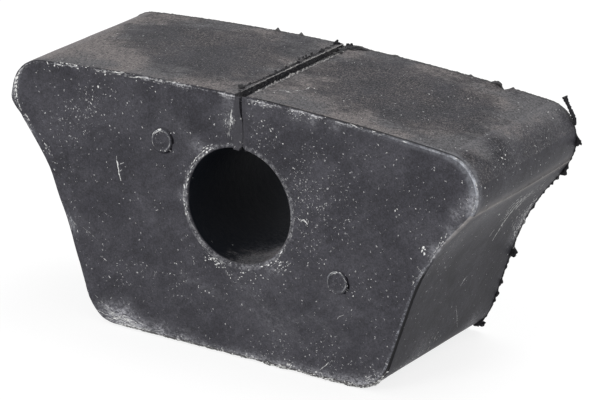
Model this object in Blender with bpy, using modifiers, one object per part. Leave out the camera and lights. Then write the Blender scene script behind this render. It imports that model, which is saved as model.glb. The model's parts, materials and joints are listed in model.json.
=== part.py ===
"""Split rubber bushing that carries a one inch stabiliser bar.

The bushing is one moulding of black rubber, so everything below ends up in a single
object named bushing. Its frame: the origin is the middle of the base, +X runs across
the ears, +Y along the bar's axis from the front end to the rear end, and +Z is up.
Units are metres. Heights are measured from the base.

How it is built: the side outline is a flat curve that is extruded along the bar and
drafted towards the rear end. The flash left at the parting line, the two lips of the
slot and the two pin marks are joined to it. Then the bore, the blade slot, the sunk web
that closes the slot at the front end and the tear through that web are cut away.
"""

import math
import random

import bmesh
import bpy
from mathutils import Vector

MM = 0.001

# Body
LENGTH = 43.2 * MM
OVERALL_WIDTH = 115.6 * MM
CROWN_HEIGHT = 58.1 * MM
CROWN_RADIUS = 550.0 * MM
EAR_RADIUS = 8.0 * MM
EAR_END = math.radians(-32.0)
KNEE_WIDTH = 91.6 * MM
KNEE_HEIGHT = 30.7 * MM
KNEE_RADIUS = 49.0 * MM
BASE_WIDTH = 72.2 * MM
BASE_CORNER_RADIUS = 9.0 * MM
FRONT_EDGE_RADIUS = 0.7 * MM
DRAFT = math.radians(0.9)

# Bore for the bar
BORE_DIAMETER = 25.4 * MM
BORE_HEIGHT = 33.5 * MM
BORE_MOUTH_RADIUS = 0.8 * MM

# Slot from the bore to the crown, left open by a blade in the mould
SLOT_WIDTH = 2.75 * MM
WEB_THICKNESS = 0.9 * MM
WEB_TOP_DROP = 1.3 * MM
WEB_SINK = 0.2 * MM
WEB_SIDE_MARGIN = 0.65 * MM

# Tear in the web: share of the web's height from the bore up, sideways place, width
TEAR = (
    (0.00, 0.62 * MM, 1.90 * MM),
    (0.05, 0.62 * MM, 1.30 * MM),
    (0.09, 0.60 * MM, 0.24 * MM),
    (0.30, 0.78 * MM, 0.26 * MM),
    (0.63, 0.70 * MM, 0.30 * MM),
    (0.66, 0.40 * MM, 0.44 * MM),
    (0.85, 0.02 * MM, 0.56 * MM),
    (1.00, -0.12 * MM, 0.66 * MM),
)

# Lips of rubber that the blade raised along the slot's top: widths at front and rear
LEFT_LIP_HEIGHT = 0.35 * MM
LEFT_LIP_WIDTHS = (0.7 * MM, 1.9 * MM)
RIGHT_LIP_HEIGHT = 0.22 * MM
RIGHT_LIP_WIDTHS = (0.45 * MM, 0.55 * MM)
LIP_SETBACK = 2.4 * MM
LIP_RAGGEDNESS = 0.22 * MM
LIP_STEPS = 26

# Round pin marks on the front end: place from the bore's axis, across and up
MARK_DIAMETER = 5.5 * MM
MARK_HEIGHT = 0.22 * MM
MARK_RIM_WIDTH = 0.45 * MM
MARK_RIM_RISE = 0.14 * MM
MARK_PLACES = ((-19.2 * MM, 10.7 * MM), (24.9 * MM, -11.4 * MM))

# Flash round the rear edge, where the two halves of the mould met
FLASH_THICKNESS = 0.45 * MM
FLASH_LOW = 0.08 * MM
FLASH_HIGH = 0.50 * MM
FLASH_STEP = 1.1 * MM
BASE_CLEARANCE = 0.05 * MM
# Larger tags: distance along the rear edge from the middle of the crown, reach, width
RIGHT_TAGS = (
    (2.2 * MM, 1.0 * MM, 1.2 * MM),
    (4.6 * MM, 0.9 * MM, 1.0 * MM),
    (11.8 * MM, 0.5 * MM, 1.0 * MM),
    (30.3 * MM, 0.6 * MM, 1.2 * MM),
    (35.4 * MM, 1.1 * MM, 1.3 * MM),
    (41.3 * MM, 1.2 * MM, 0.8 * MM),
    (62.4 * MM, 1.5 * MM, 1.4 * MM),
    (69.4 * MM, 1.2 * MM, 1.6 * MM),
    (76.0 * MM, 1.1 * MM, 1.8 * MM),
    (93.4 * MM, 1.4 * MM, 1.5 * MM),
    (96.6 * MM, 1.0 * MM, 1.1 * MM),
    (102.7 * MM, 0.8 * MM, 1.3 * MM),
    (107.7 * MM, 0.9 * MM, 1.1 * MM),
)
LEFT_TAGS = (
    (2.6 * MM, 0.7 * MM, 1.0 * MM),
    (12.4 * MM, 0.6 * MM, 1.1 * MM),
    (18.5 * MM, 0.7 * MM, 1.2 * MM),
    (39.0 * MM, 0.5 * MM, 1.2 * MM),
    (58.5 * MM, 0.9 * MM, 1.4 * MM),
    (71.0 * MM, 0.8 * MM, 1.5 * MM),
    (88.0 * MM, 1.0 * MM, 1.4 * MM),
    (101.5 * MM, 0.7 * MM, 1.2 * MM),
)
# Sliver of flash peeled off the right ear: angle about the ear, stand-off, radius
SLIVER = (
    (14.0, -0.9 * MM, 0.36 * MM),
    (27.0, 0.2 * MM, 0.46 * MM),
    (39.0, 0.9 * MM, 0.42 * MM),
    (53.0, 1.5 * MM, 0.38 * MM),
    (66.0, 2.1 * MM, 0.30 * MM),
)

# Facets: steps along each arc of half the outline, and round the turned pieces
CROWN_STEPS = 18
EAR_STEPS = 20
KNEE_STEPS = 10
CORNER_STEPS = 9
BORE_SIDES = 96
MARK_SIDES = 36
MOUTH_STEPS = 4

SEED = 29
WELD = 0.00001
OVERSHOOT = 3.0 * MM

# Sizes worked out from the ones above
HALF_LENGTH = LENGTH / 2
BORE_RADIUS = BORE_DIAMETER / 2
FRONT_Y = -HALF_LENGTH
REAR_Y = HALF_LENGTH
REAR_SCALE = 1.0 - LENGTH * math.tan(DRAFT) / (OVERALL_WIDTH / 2)
CROWN_SLOPE = math.atan2(CROWN_HEIGHT * (1.0 - REAR_SCALE), LENGTH)
WEB_TOP = CROWN_HEIGHT - WEB_TOP_DROP
BORE_TOP = BORE_HEIGHT + BORE_RADIUS


def start_scene():
    """Clears the scene and adds one collection for the part and one for its helpers."""
    for old in list(bpy.data.objects):
        bpy.data.objects.remove(old, do_unlink=True)
    part = bpy.data.collections.new("sway_bar_bushing")
    tools = bpy.data.collections.new("cutters_and_additions")
    bpy.context.scene.collection.children.link(part)
    bpy.context.scene.collection.children.link(tools)
    return part, tools


def arc(centre, radius, start, end, steps):
    """Points of an arc about centre, from the start angle to the end angle."""
    angles = [start + (end - start) * i / steps for i in range(steps + 1)]
    return [centre + radius * Vector((math.cos(a), math.sin(a))) for a in angles]


def rounded_corner(before, corner, after, radius, steps):
    """Points of the arc that rounds a corner, with its radius limited by both sides."""
    to_before = (before - corner).normalized()
    to_after = (after - corner).normalized()
    half_angle = to_before.angle(to_after) / 2
    room = 0.9 * min((before - corner).length, (after - corner).length)
    radius = min(radius, room * math.tan(half_angle))
    reach = radius / math.tan(half_angle)
    centre = corner + (to_before + to_after).normalized() * radius / math.sin(half_angle)
    first = corner + to_before * reach - centre
    last = corner + to_after * reach - centre
    start = math.atan2(first.y, first.x)
    turn = math.remainder(math.atan2(last.y, last.x) - start, math.tau)
    return arc(centre, radius, start, start + turn, steps)


def ear_centre():
    """Centre of the right ear's arc, which meets the crown's arc without a corner."""
    across = OVERALL_WIDTH / 2 - EAR_RADIUS
    drop = math.sqrt((CROWN_RADIUS - EAR_RADIUS) ** 2 - across**2)
    return Vector((across, CROWN_HEIGHT - CROWN_RADIUS + drop))


def half_outline():
    """The right half of the front end's outline, from the crown's middle to the base."""
    ear = ear_centre()
    crown_middle = Vector((0.0, CROWN_HEIGHT - CROWN_RADIUS))
    quarter = math.pi / 2
    join = quarter - math.asin(ear.x / (CROWN_RADIUS - EAR_RADIUS))
    crown = arc(crown_middle, CROWN_RADIUS, quarter, join, CROWN_STEPS)
    ear_arc = arc(ear, EAR_RADIUS, join, EAR_END, EAR_STEPS)
    crease = ear_arc[-1]
    knee = Vector((KNEE_WIDTH / 2, KNEE_HEIGHT))
    foot = Vector((BASE_WIDTH / 2, 0.0))
    middle = Vector((0.0, 0.0))
    knee_arc = rounded_corner(crease, knee, foot, KNEE_RADIUS, KNEE_STEPS)
    foot_arc = rounded_corner(knee_arc[-1], foot, middle, BASE_CORNER_RADIUS, CORNER_STEPS)
    return crown + ear_arc[1:] + knee_arc + foot_arc


def full_outline():
    """The whole outline of the front end, clockwise from the crown's middle."""
    right = half_outline()
    left = [Vector((-p.x, p.y)) for p in reversed(right[1:])]
    return right + left


def flat_solid(name, outline, thickness, tools):
    """A closed solid: an outline in the XY plane, thickened evenly to both sides of it."""
    curve = bpy.data.curves.new(name + "_outline", "CURVE")
    curve.dimensions = "2D"
    curve.fill_mode = "BOTH"
    curve.extrude = thickness / 2
    spline = curve.splines.new("POLY")
    spline.points.add(len(outline) - 1)
    for point, place in zip(spline.points, outline):
        point.co = (place.x, place.y, 0.0, 1.0)
    spline.use_cyclic_u = True
    return as_mesh(name, curve, tools)


def as_mesh(name, curve, tools):
    """Turns curve data into a welded mesh object with its faces pointing out."""
    guide = bpy.data.objects.new(name + "_guide", curve)
    tools.objects.link(guide)
    bpy.context.view_layer.update()
    graph = bpy.context.evaluated_depsgraph_get()
    mesh = bpy.data.meshes.new_from_object(guide.evaluated_get(graph))
    mesh.name = name
    work = bmesh.new()
    work.from_mesh(mesh)
    bmesh.ops.remove_doubles(work, verts=work.verts, dist=WELD)
    bmesh.ops.recalc_face_normals(work, faces=work.faces)
    work.to_mesh(mesh)
    work.free()
    solid = bpy.data.objects.new(name, mesh)
    solid.matrix_world = guide.matrix_world
    tools.objects.link(solid)
    bpy.data.objects.remove(guide, do_unlink=True)
    return solid


def box(name, low, high, tools):
    """A box between two corners."""
    low = Vector(low)
    high = Vector(high)
    mesh = bpy.data.meshes.new(name)
    work = bmesh.new()
    bmesh.ops.create_cube(work, size=1.0)
    bmesh.ops.scale(work, vec=high - low, verts=work.verts)
    work.to_mesh(mesh)
    work.free()
    solid = bpy.data.objects.new(name, mesh)
    solid.location = (low + high) / 2
    tools.objects.link(solid)
    return solid


def turned(name, profile, steps, tools):
    """A solid turned about Z from a profile of radius and height, listed top to bottom."""
    mesh = bpy.data.meshes.new(name)
    points = [(radius, 0.0, height) for radius, height in profile]
    edges = [(i, i + 1) for i in range(len(points) - 1)]
    mesh.from_pydata(points, edges, [])
    solid = bpy.data.objects.new(name, mesh)
    screw = solid.modifiers.new("turn", "SCREW")
    screw.axis = "Z"
    screw.steps = steps
    screw.render_steps = steps
    screw.use_merge_vertices = True
    screw.merge_threshold = WELD
    tools.objects.link(solid)
    return solid


def stand_up(solid, y):
    """Turns an outline drawn in XY so that it stands in XZ, centred on the given Y."""
    solid.rotation_euler = (math.pi / 2, 0.0, 0.0)
    solid.location = (0.0, y, 0.0)


def make_blank(part, tools):
    """The drafted body with its rounded front edge, before anything is cut."""
    body_length = LENGTH - BASE_CLEARANCE
    blank = flat_solid("bushing", full_outline(), body_length, tools)
    stand_up(blank, FRONT_Y + body_length / 2)
    front = body_length / 2
    work = bmesh.new()
    work.from_mesh(blank.data)
    for side in (front, -front):
        cap = [f for f in work.faces if all(abs(v.co.z - side) < WELD for v in f.verts)]
        bmesh.ops.dissolve_faces(work, faces=cap)
    for vert in work.verts:
        if vert.co.z < 0.0:
            vert.co.x *= REAR_SCALE
            vert.co.y *= REAR_SCALE
    weights = work.edges.layers.float.new("bevel_weight_edge")
    for edge in work.edges:
        if all(abs(v.co.z - front) < WELD for v in edge.verts):
            edge[weights] = 1.0
    work.to_mesh(blank.data)
    work.free()
    edge_round = blank.modifiers.new("front_edge", "BEVEL")
    edge_round.limit_method = "WEIGHT"
    edge_round.width = FRONT_EDGE_RADIUS
    edge_round.segments = 2
    tools.objects.unlink(blank)
    part.objects.link(blank)
    return blank


def even_steps(points, step):
    """Points spaced evenly along an open path, with their distance along it."""
    spaced = [(0.0, points[0])]
    travelled = 0.0
    for start, end in zip(points, points[1:]):
        length = (end - start).length
        while spaced[-1][0] + step < travelled + length:
            distance = spaced[-1][0] + step
            spaced.append((distance, start.lerp(end, (distance - travelled) / length)))
        travelled += length
    return spaced


def flash_reach(distance, tags, rng):
    """How far the flash stands out at a distance along the rear edge."""
    reach = FLASH_LOW + (FLASH_HIGH - FLASH_LOW) * rng.random() ** 2
    for place, height, width in tags:
        offset = (distance - place) / width
        reach += height * math.exp(-2.0 * offset * offset) * rng.uniform(0.75, 1.1)
    return reach


def flash_half(tags, side, rng):
    """Outer edge of one half's flash, from the crown's middle down to the base corner."""
    rear = [p * REAR_SCALE for p in half_outline()]
    stops = even_steps(rear, FLASH_STEP)
    edge = []
    for i, (distance, place) in enumerate(stops[1:-1], 1):
        along = (stops[i + 1][1] - stops[i - 1][1]).normalized()
        outward = Vector((-along.y, along.x))
        reach = flash_reach(distance, tags, rng)
        # The base's corner stays free of flash, so the bushing sits flat.
        if place.y + outward.y * reach < 2 * BASE_CLEARANCE:
            break
        edge.append(Vector((side * (place.x + outward.x * reach), place.y + outward.y * reach)))
    foot = Vector((side * (edge[-1].x * side - FLASH_STEP), BASE_CLEARANCE))
    return edge + [foot]


def make_rear_flash(tools):
    """The thin ragged plate of flash whose rim shows round the rear edge."""
    rng = random.Random(SEED)
    right = flash_half(RIGHT_TAGS, 1.0, rng)
    left = flash_half(LEFT_TAGS, -1.0, rng)
    middle = Vector((0.0, CROWN_HEIGHT * REAR_SCALE + FLASH_LOW))
    outline = [middle] + right + list(reversed(left))
    plate = flat_solid("rear_flash", outline, FLASH_THICKNESS, tools)
    stand_up(plate, REAR_Y - FLASH_THICKNESS / 2)
    return plate


def make_sliver(tools):
    """The peeled sliver of flash on the right ear, rooted in the body at its lower end."""
    ear = ear_centre() * REAR_SCALE
    radius = EAR_RADIUS * REAR_SCALE
    curve = bpy.data.curves.new("sliver_path", "CURVE")
    curve.dimensions = "3D"
    curve.bevel_depth = 1.0
    curve.bevel_resolution = 1
    curve.use_fill_caps = True
    spline = curve.splines.new("POLY")
    spline.points.add(len(SLIVER) - 1)
    thickest = max(thickness for _, _, thickness in SLIVER)
    depth = REAR_Y - thickest - BASE_CLEARANCE
    for point, (angle, stand_off, thickness) in zip(spline.points, SLIVER):
        turn = math.radians(angle)
        place = ear + (radius + stand_off) * Vector((math.cos(turn), math.sin(turn)))
        point.co = (place.x, depth, place.y, 1.0)
        point.radius = thickness
    return as_mesh("peeled_sliver", curve, tools)


def make_lip(name, side, widths, height, tools, rng):
    """A low raised band along one side of the slot's top, with a ragged outer edge."""
    width_front, width_rear = widths
    inner = side * (SLOT_WIDTH / 2 - WEB_SIDE_MARGIN)
    start = LIP_SETBACK
    end = LENGTH - 2 * BASE_CLEARANCE
    outer = []
    for i in range(LIP_STEPS + 1):
        share = i / LIP_STEPS
        width = width_front + (width_rear - width_front) * share
        # The band's two ends taper to the slot.
        width *= min(1.0, 0.35 + 6.0 * share, 0.35 + 6.0 * (1.0 - share))
        ragged = max(width + LIP_RAGGEDNESS * rng.uniform(-1.0, 1.0), width / 3)
        place = start + (end - start) * share
        outer.append(Vector((side * (SLOT_WIDTH / 2 + ragged), place)))
    outline = [Vector((inner, start))] + outer + [Vector((inner, end))]
    root = 4 * height
    band = flat_solid(name, outline, height + root, tools)
    # The band follows the crown, which falls towards the rear end with the draft.
    band.rotation_euler = (-CROWN_SLOPE, 0.0, 0.0)
    band.location = (0.0, FRONT_Y, CROWN_HEIGHT + (height - root) / 2)
    return band


def make_pin_mark(name, across, up, tools):
    """A round mark with a raised rim on the front end."""
    radius = MARK_DIAMETER / 2
    root = 4 * MARK_HEIGHT
    rim_top = MARK_HEIGHT + MARK_RIM_RISE
    profile = (
        (0.0, MARK_HEIGHT),
        (radius - MARK_RIM_WIDTH, MARK_HEIGHT),
        (radius - MARK_RIM_WIDTH * 0.7, rim_top),
        (radius - MARK_RIM_WIDTH * 0.2, rim_top),
        (radius, MARK_HEIGHT * 0.5),
        (radius, -root),
        (0.0, -root),
    )
    mark = turned(name, profile, MARK_SIDES, tools)
    mark.rotation_euler = (math.pi / 2, 0.0, 0.0)
    mark.location = (across, FRONT_Y, BORE_HEIGHT + up)
    return mark


def make_bore_core(tools):
    """The core that leaves the bore, with a small round at each mouth."""
    quarter = math.pi / 2
    half = LENGTH / 2
    round_centre = Vector((BORE_RADIUS + BORE_MOUTH_RADIUS, half - BORE_MOUTH_RADIUS))
    mouth = arc(round_centre, BORE_MOUTH_RADIUS, quarter, 2 * quarter, MOUTH_STEPS)
    upper = [(0.0, half + OVERSHOOT), (round_centre.x, half + OVERSHOOT)]
    upper += [(p.x, p.y) for p in mouth]
    lower = [(radius, -height) for radius, height in reversed(upper)]
    core = turned("bore_core", upper + lower, BORE_SIDES, tools)
    core.rotation_euler = (quarter, 0.0, 0.0)
    core.location = (0.0, 0.0, BORE_HEIGHT)
    return core


def make_slot_blade(tools):
    """The blade that leaves the slot behind the web."""
    low = (-SLOT_WIDTH / 2, FRONT_Y + WEB_THICKNESS, BORE_HEIGHT)
    high = (SLOT_WIDTH / 2, REAR_Y + OVERSHOOT, CROWN_HEIGHT + OVERSHOOT)
    return box("slot_blade", low, high, tools)


def make_web_notch(tools):
    """The short opening above the web, where the slot breaks through the front end."""
    low = (-SLOT_WIDTH / 2, FRONT_Y - OVERSHOOT, WEB_TOP)
    high = (SLOT_WIDTH / 2, FRONT_Y + 2 * WEB_THICKNESS, CROWN_HEIGHT + OVERSHOOT)
    return box("web_notch", low, high, tools)


def make_web_sink(tools):
    """The shallow step that leaves the web a little below the front end."""
    side = SLOT_WIDTH / 2 + WEB_SIDE_MARGIN
    low = (-side, FRONT_Y - OVERSHOOT, BORE_HEIGHT)
    high = (side - WEB_SIDE_MARGIN / 2, FRONT_Y + WEB_SINK, CROWN_HEIGHT + OVERSHOOT)
    return box("web_sink", low, high, tools)


def make_tear(tools):
    """The wandering tear that splits the web from its top edge down to the bore."""
    foot = BORE_TOP - BORE_MOUTH_RADIUS
    height = WEB_TOP - foot
    left = []
    right = []
    for share, place, width in TEAR:
        up = foot + share * height
        left.append(Vector((place - width / 2, up)))
        right.append(Vector((place + width / 2, up)))
    # Both ends run on, into the bore and into the notch above the web.
    ends = ((0, -OVERSHOOT), (-1, OVERSHOOT / 4))
    for index, run_on in ends:
        for edge in (left, right):
            extra = Vector((edge[index].x, edge[index].y + run_on))
            edge.insert(0 if index == 0 else len(edge), extra)
    depth = OVERSHOOT + 2 * WEB_THICKNESS
    tear = flat_solid("web_tear", left + list(reversed(right)), depth, tools)
    stand_up(tear, FRONT_Y - OVERSHOOT + depth / 2)
    return tear


def combine(body, helper, operation):
    """Adds a Boolean of the helper to the body, and hides the helper from renders."""
    boolean = body.modifiers.new(helper.name, "BOOLEAN")
    boolean.object = helper
    boolean.operation = operation
    boolean.solver = "EXACT"
    helper.hide_render = True
    helper.display_type = "WIRE"


def rubber():
    """Black moulded rubber, greyed by dust and handling."""
    material = bpy.data.materials.new("black_rubber")
    material.use_nodes = True
    shader = material.node_tree.nodes["Principled BSDF"]
    shader.inputs["Base Color"].default_value = (0.066, 0.065, 0.073, 1.0)
    shader.inputs["Roughness"].default_value = 0.74
    shader.inputs["Metallic"].default_value = 0.0
    return material


def main():
    """Builds the bushing."""
    part, tools = start_scene()
    rng = random.Random(SEED + 1)
    bushing = make_blank(part, tools)
    additions = [
        make_rear_flash(tools),
        make_sliver(tools),
        make_lip("left_lip", -1.0, LEFT_LIP_WIDTHS, LEFT_LIP_HEIGHT, tools, rng),
        make_lip("right_lip", 1.0, RIGHT_LIP_WIDTHS, RIGHT_LIP_HEIGHT, tools, rng),
    ]
    for number, (across, up) in enumerate(MARK_PLACES, 1):
        additions.append(make_pin_mark(f"pin_mark_{number}", across, up, tools))
    cutters = [
        make_bore_core(tools),
        make_slot_blade(tools),
        make_web_notch(tools),
        make_web_sink(tools),
        make_tear(tools),
    ]
    for addition in additions:
        combine(bushing, addition, "UNION")
    for cutter in cutters:
        combine(bushing, cutter, "DIFFERENCE")
    bushing.data.materials.append(rubber())
    bushing.data.shade_smooth()
    bushing.data.set_sharp_from_angle(angle=math.radians(30.0))
    bpy.context.view_layer.update()


main()
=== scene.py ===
"""Looks of a split rubber bushing that carries a one inch stabiliser bar.

The bushing is one moulding of black rubber: the drafted body with its bore and blade
slot, the torn web that closes the slot at the front end, the lips raised along the slot,
two pin marks, and the flash left round the rear edge. Dust, talc flakes, scratches and
scuffed edges lie on it. Lengths are in millimetres and become metres when a mesh is made.
"""

import json
import logging
import math
import random
from contextlib import contextmanager
from dataclasses import dataclass
from enum import Enum
from typing import Any, Callable, Iterable, Iterator, Sequence

import bmesh
import bpy
import numpy as np
from mathutils import Matrix, Vector, noise
from mathutils.bvhtree import BVHTree


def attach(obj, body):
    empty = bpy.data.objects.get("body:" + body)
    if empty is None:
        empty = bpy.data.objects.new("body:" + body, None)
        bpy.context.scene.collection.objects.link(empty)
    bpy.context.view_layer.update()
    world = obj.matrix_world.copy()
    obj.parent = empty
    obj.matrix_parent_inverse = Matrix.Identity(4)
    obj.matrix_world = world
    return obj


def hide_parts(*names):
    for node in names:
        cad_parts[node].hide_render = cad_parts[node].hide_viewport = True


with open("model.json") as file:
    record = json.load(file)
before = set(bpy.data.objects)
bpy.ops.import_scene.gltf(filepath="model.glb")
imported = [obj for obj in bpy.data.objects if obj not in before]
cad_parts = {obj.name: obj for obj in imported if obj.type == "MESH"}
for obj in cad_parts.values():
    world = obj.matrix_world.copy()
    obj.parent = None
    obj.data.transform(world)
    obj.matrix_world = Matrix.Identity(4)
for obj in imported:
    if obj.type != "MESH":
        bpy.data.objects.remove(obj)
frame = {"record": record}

MM = 0.001
WELD = 0.000001
NODE = "bushing"
log = logging.getLogger("bushing")
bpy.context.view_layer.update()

Row = tuple[float, ...]
Node, Socket, Tree = bpy.types.Node, bpy.types.NodeSocket, bpy.types.NodeTree
Thing, Mesh, Material = bpy.types.Object, bpy.types.Mesh, bpy.types.Material
Field = Callable[[np.ndarray, np.ndarray], np.ndarray]
Station = tuple[Vector, Vector, Vector, float, float]


class Mask(Enum):
    """Names of the values painted on the body's points."""

    DUST = "dust"
    WEAR = "wear"
    GROOVE = "groove"
    SPECKS = "specks"
    HAZE = "haze"
    DARK = "dark"
    SEAM = "seam"
    INSET = "inset"
    CREASE = "crease"
    RIM = "rim"


@dataclass(frozen=True)
class MouldSizes:
    """Sizes of the moulding in millimetres, in the row frame."""

    length: float
    bore_height: float
    width: float = 115.6
    crown_height: float = 58.1
    crown_radius: float = 550.0
    ear_radius: float = 8.0
    ear_end: float = math.radians(-32.0)
    knee_across: float = 45.8
    knee_height: float = 30.7
    knee_radius: float = 49.0
    foot_across: float = 36.1
    foot_radius: float = 9.0
    draft: float = math.radians(0.9)
    bore_radius: float = 12.7
    mouth_radius: float = 0.5
    edge_radius: float = 0.35
    slot_left: float = -1.45
    slot_right: float = 1.3

    @classmethod
    def from_record(cls, record: dict[str, Any]) -> "MouldSizes":
        """Reads the length and the bore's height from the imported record.

        Args:
            record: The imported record, whose mounts and openings give the two sizes.

        Returns:
            The sizes of the moulding.
        """
        ends = {mount["name"]: mount["pos_m"][1] for mount in record["mounts"]}
        low, high = record["physics"]["openings"][0]["box_m"]
        return cls(
            length=(ends["rear_end"] - ends["front_end"]) / MM,
            bore_height=(low[2] + high[2]) / 2 / MM,
        )

    @property
    def front(self) -> float:
        """Y of the front end."""
        return -self.length / 2

    @property
    def rear(self) -> float:
        """Y of the rear end."""
        return self.length / 2

    @property
    def crease(self) -> Vector:
        """Where the right ear meets the flank, at the front end."""
        across = self.width / 2 - self.ear_radius
        reach = self.crown_radius - self.ear_radius
        ear = Vector((across, self.crown_height - self.crown_radius + math.sqrt(reach**2 - across**2)))
        return ear + self.ear_radius * Vector((math.cos(self.ear_end), math.sin(self.ear_end)))

    @property
    def rear_scale(self) -> float:
        """Size of the rear outline as a share of the front one."""
        return 1.0 - self.length * math.tan(self.draft) / (self.width / 2)

    def crown(self, x: float) -> float:
        """Height of the crown at the front end, for a place across."""
        radius = self.crown_radius
        return self.crown_height - radius + math.sqrt(radius**2 - x**2)

    def half(self, start: float) -> list[Vector]:
        """Right half of the outline, from a place on the crown down to the base's middle.

        Args:
            start: Where across the crown the path starts.

        Returns:
            Points of the path, with X across and Y up.
        """
        across = self.width / 2 - self.ear_radius
        reach = self.crown_radius - self.ear_radius
        low = self.crown_height - self.crown_radius
        ear = Vector((across, low + math.sqrt(reach**2 - across**2)))
        quarter = math.pi / 2
        join = quarter - math.asin(across / reach)
        first = quarter - math.asin(start / self.crown_radius)
        crown = arc(Vector((0.0, low)), self.crown_radius, first, join, 90)
        turn = arc(ear, self.ear_radius, join, self.ear_end, 40)
        knee = Vector((self.knee_across, self.knee_height))
        foot = Vector((self.foot_across, 0.0))
        bend = fillet(turn[-1], knee, foot, self.knee_radius, 30)
        corner = fillet(bend[-1], foot, Vector((0.0, 0.0)), self.foot_radius, 20)
        return crown + turn[1:] + bend + corner + [Vector((0.0, 0.0))]

    def outline(self) -> list[Vector]:
        """The outline from the slot's right edge, clockwise, to its left edge."""
        right = self.half(self.slot_right)
        left = [Vector((-p.x, p.y)) for p in self.half(-self.slot_left)]
        return right + left[-2::-1]

    def bore_path(self) -> list[Vector]:
        """The bore's edge from the slot's right side, clockwise, to its left side."""
        centre = Vector((0.0, self.bore_height))
        start = math.acos(self.slot_right / self.bore_radius)
        end = math.acos(self.slot_left / self.bore_radius) - math.tau
        return arc(centre, self.bore_radius, start, end, 180)


def arc(centre: Vector, radius: float, start: float, end: float, steps: int) -> list[Vector]:
    """Points of an arc about a centre, from the start angle to the end angle."""
    angles = [start + (end - start) * i / steps for i in range(steps + 1)]
    return [centre + radius * Vector((math.cos(a), math.sin(a))) for a in angles]


def fillet(before: Vector, corner: Vector, after: Vector, radius: float, steps: int) -> list[Vector]:
    """Points of the arc that rounds a corner, with its radius limited by both sides.

    Args:
        before: A point on the way to the corner.
        corner: The corner itself.
        after: A point on the way from it.
        radius: The arc's radius.
        steps: How many steps the arc takes.

    Returns:
        Points of the arc.
    """
    to_before = (before - corner).normalized()
    to_after = (after - corner).normalized()
    half = to_before.angle(to_after) / 2
    room = 0.9 * min((before - corner).length, (after - corner).length)
    radius = min(radius, room * math.tan(half))
    reach = radius / math.tan(half)
    centre = corner + (to_before + to_after).normalized() * radius / math.sin(half)
    first = corner + to_before * reach - centre
    last = corner + to_after * reach - centre
    start = math.atan2(first.y, first.x)
    turn = math.remainder(math.atan2(last.y, last.x) - start, math.tau)
    return arc(centre, radius, start, start + turn, steps)


FLOAT, VECTOR = "NodeSocketFloat", "NodeSocketVector"
OBJECT, MATERIAL, GEOMETRY = "NodeSocketObject", "NodeSocketMaterial", "NodeSocketGeometry"


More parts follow.
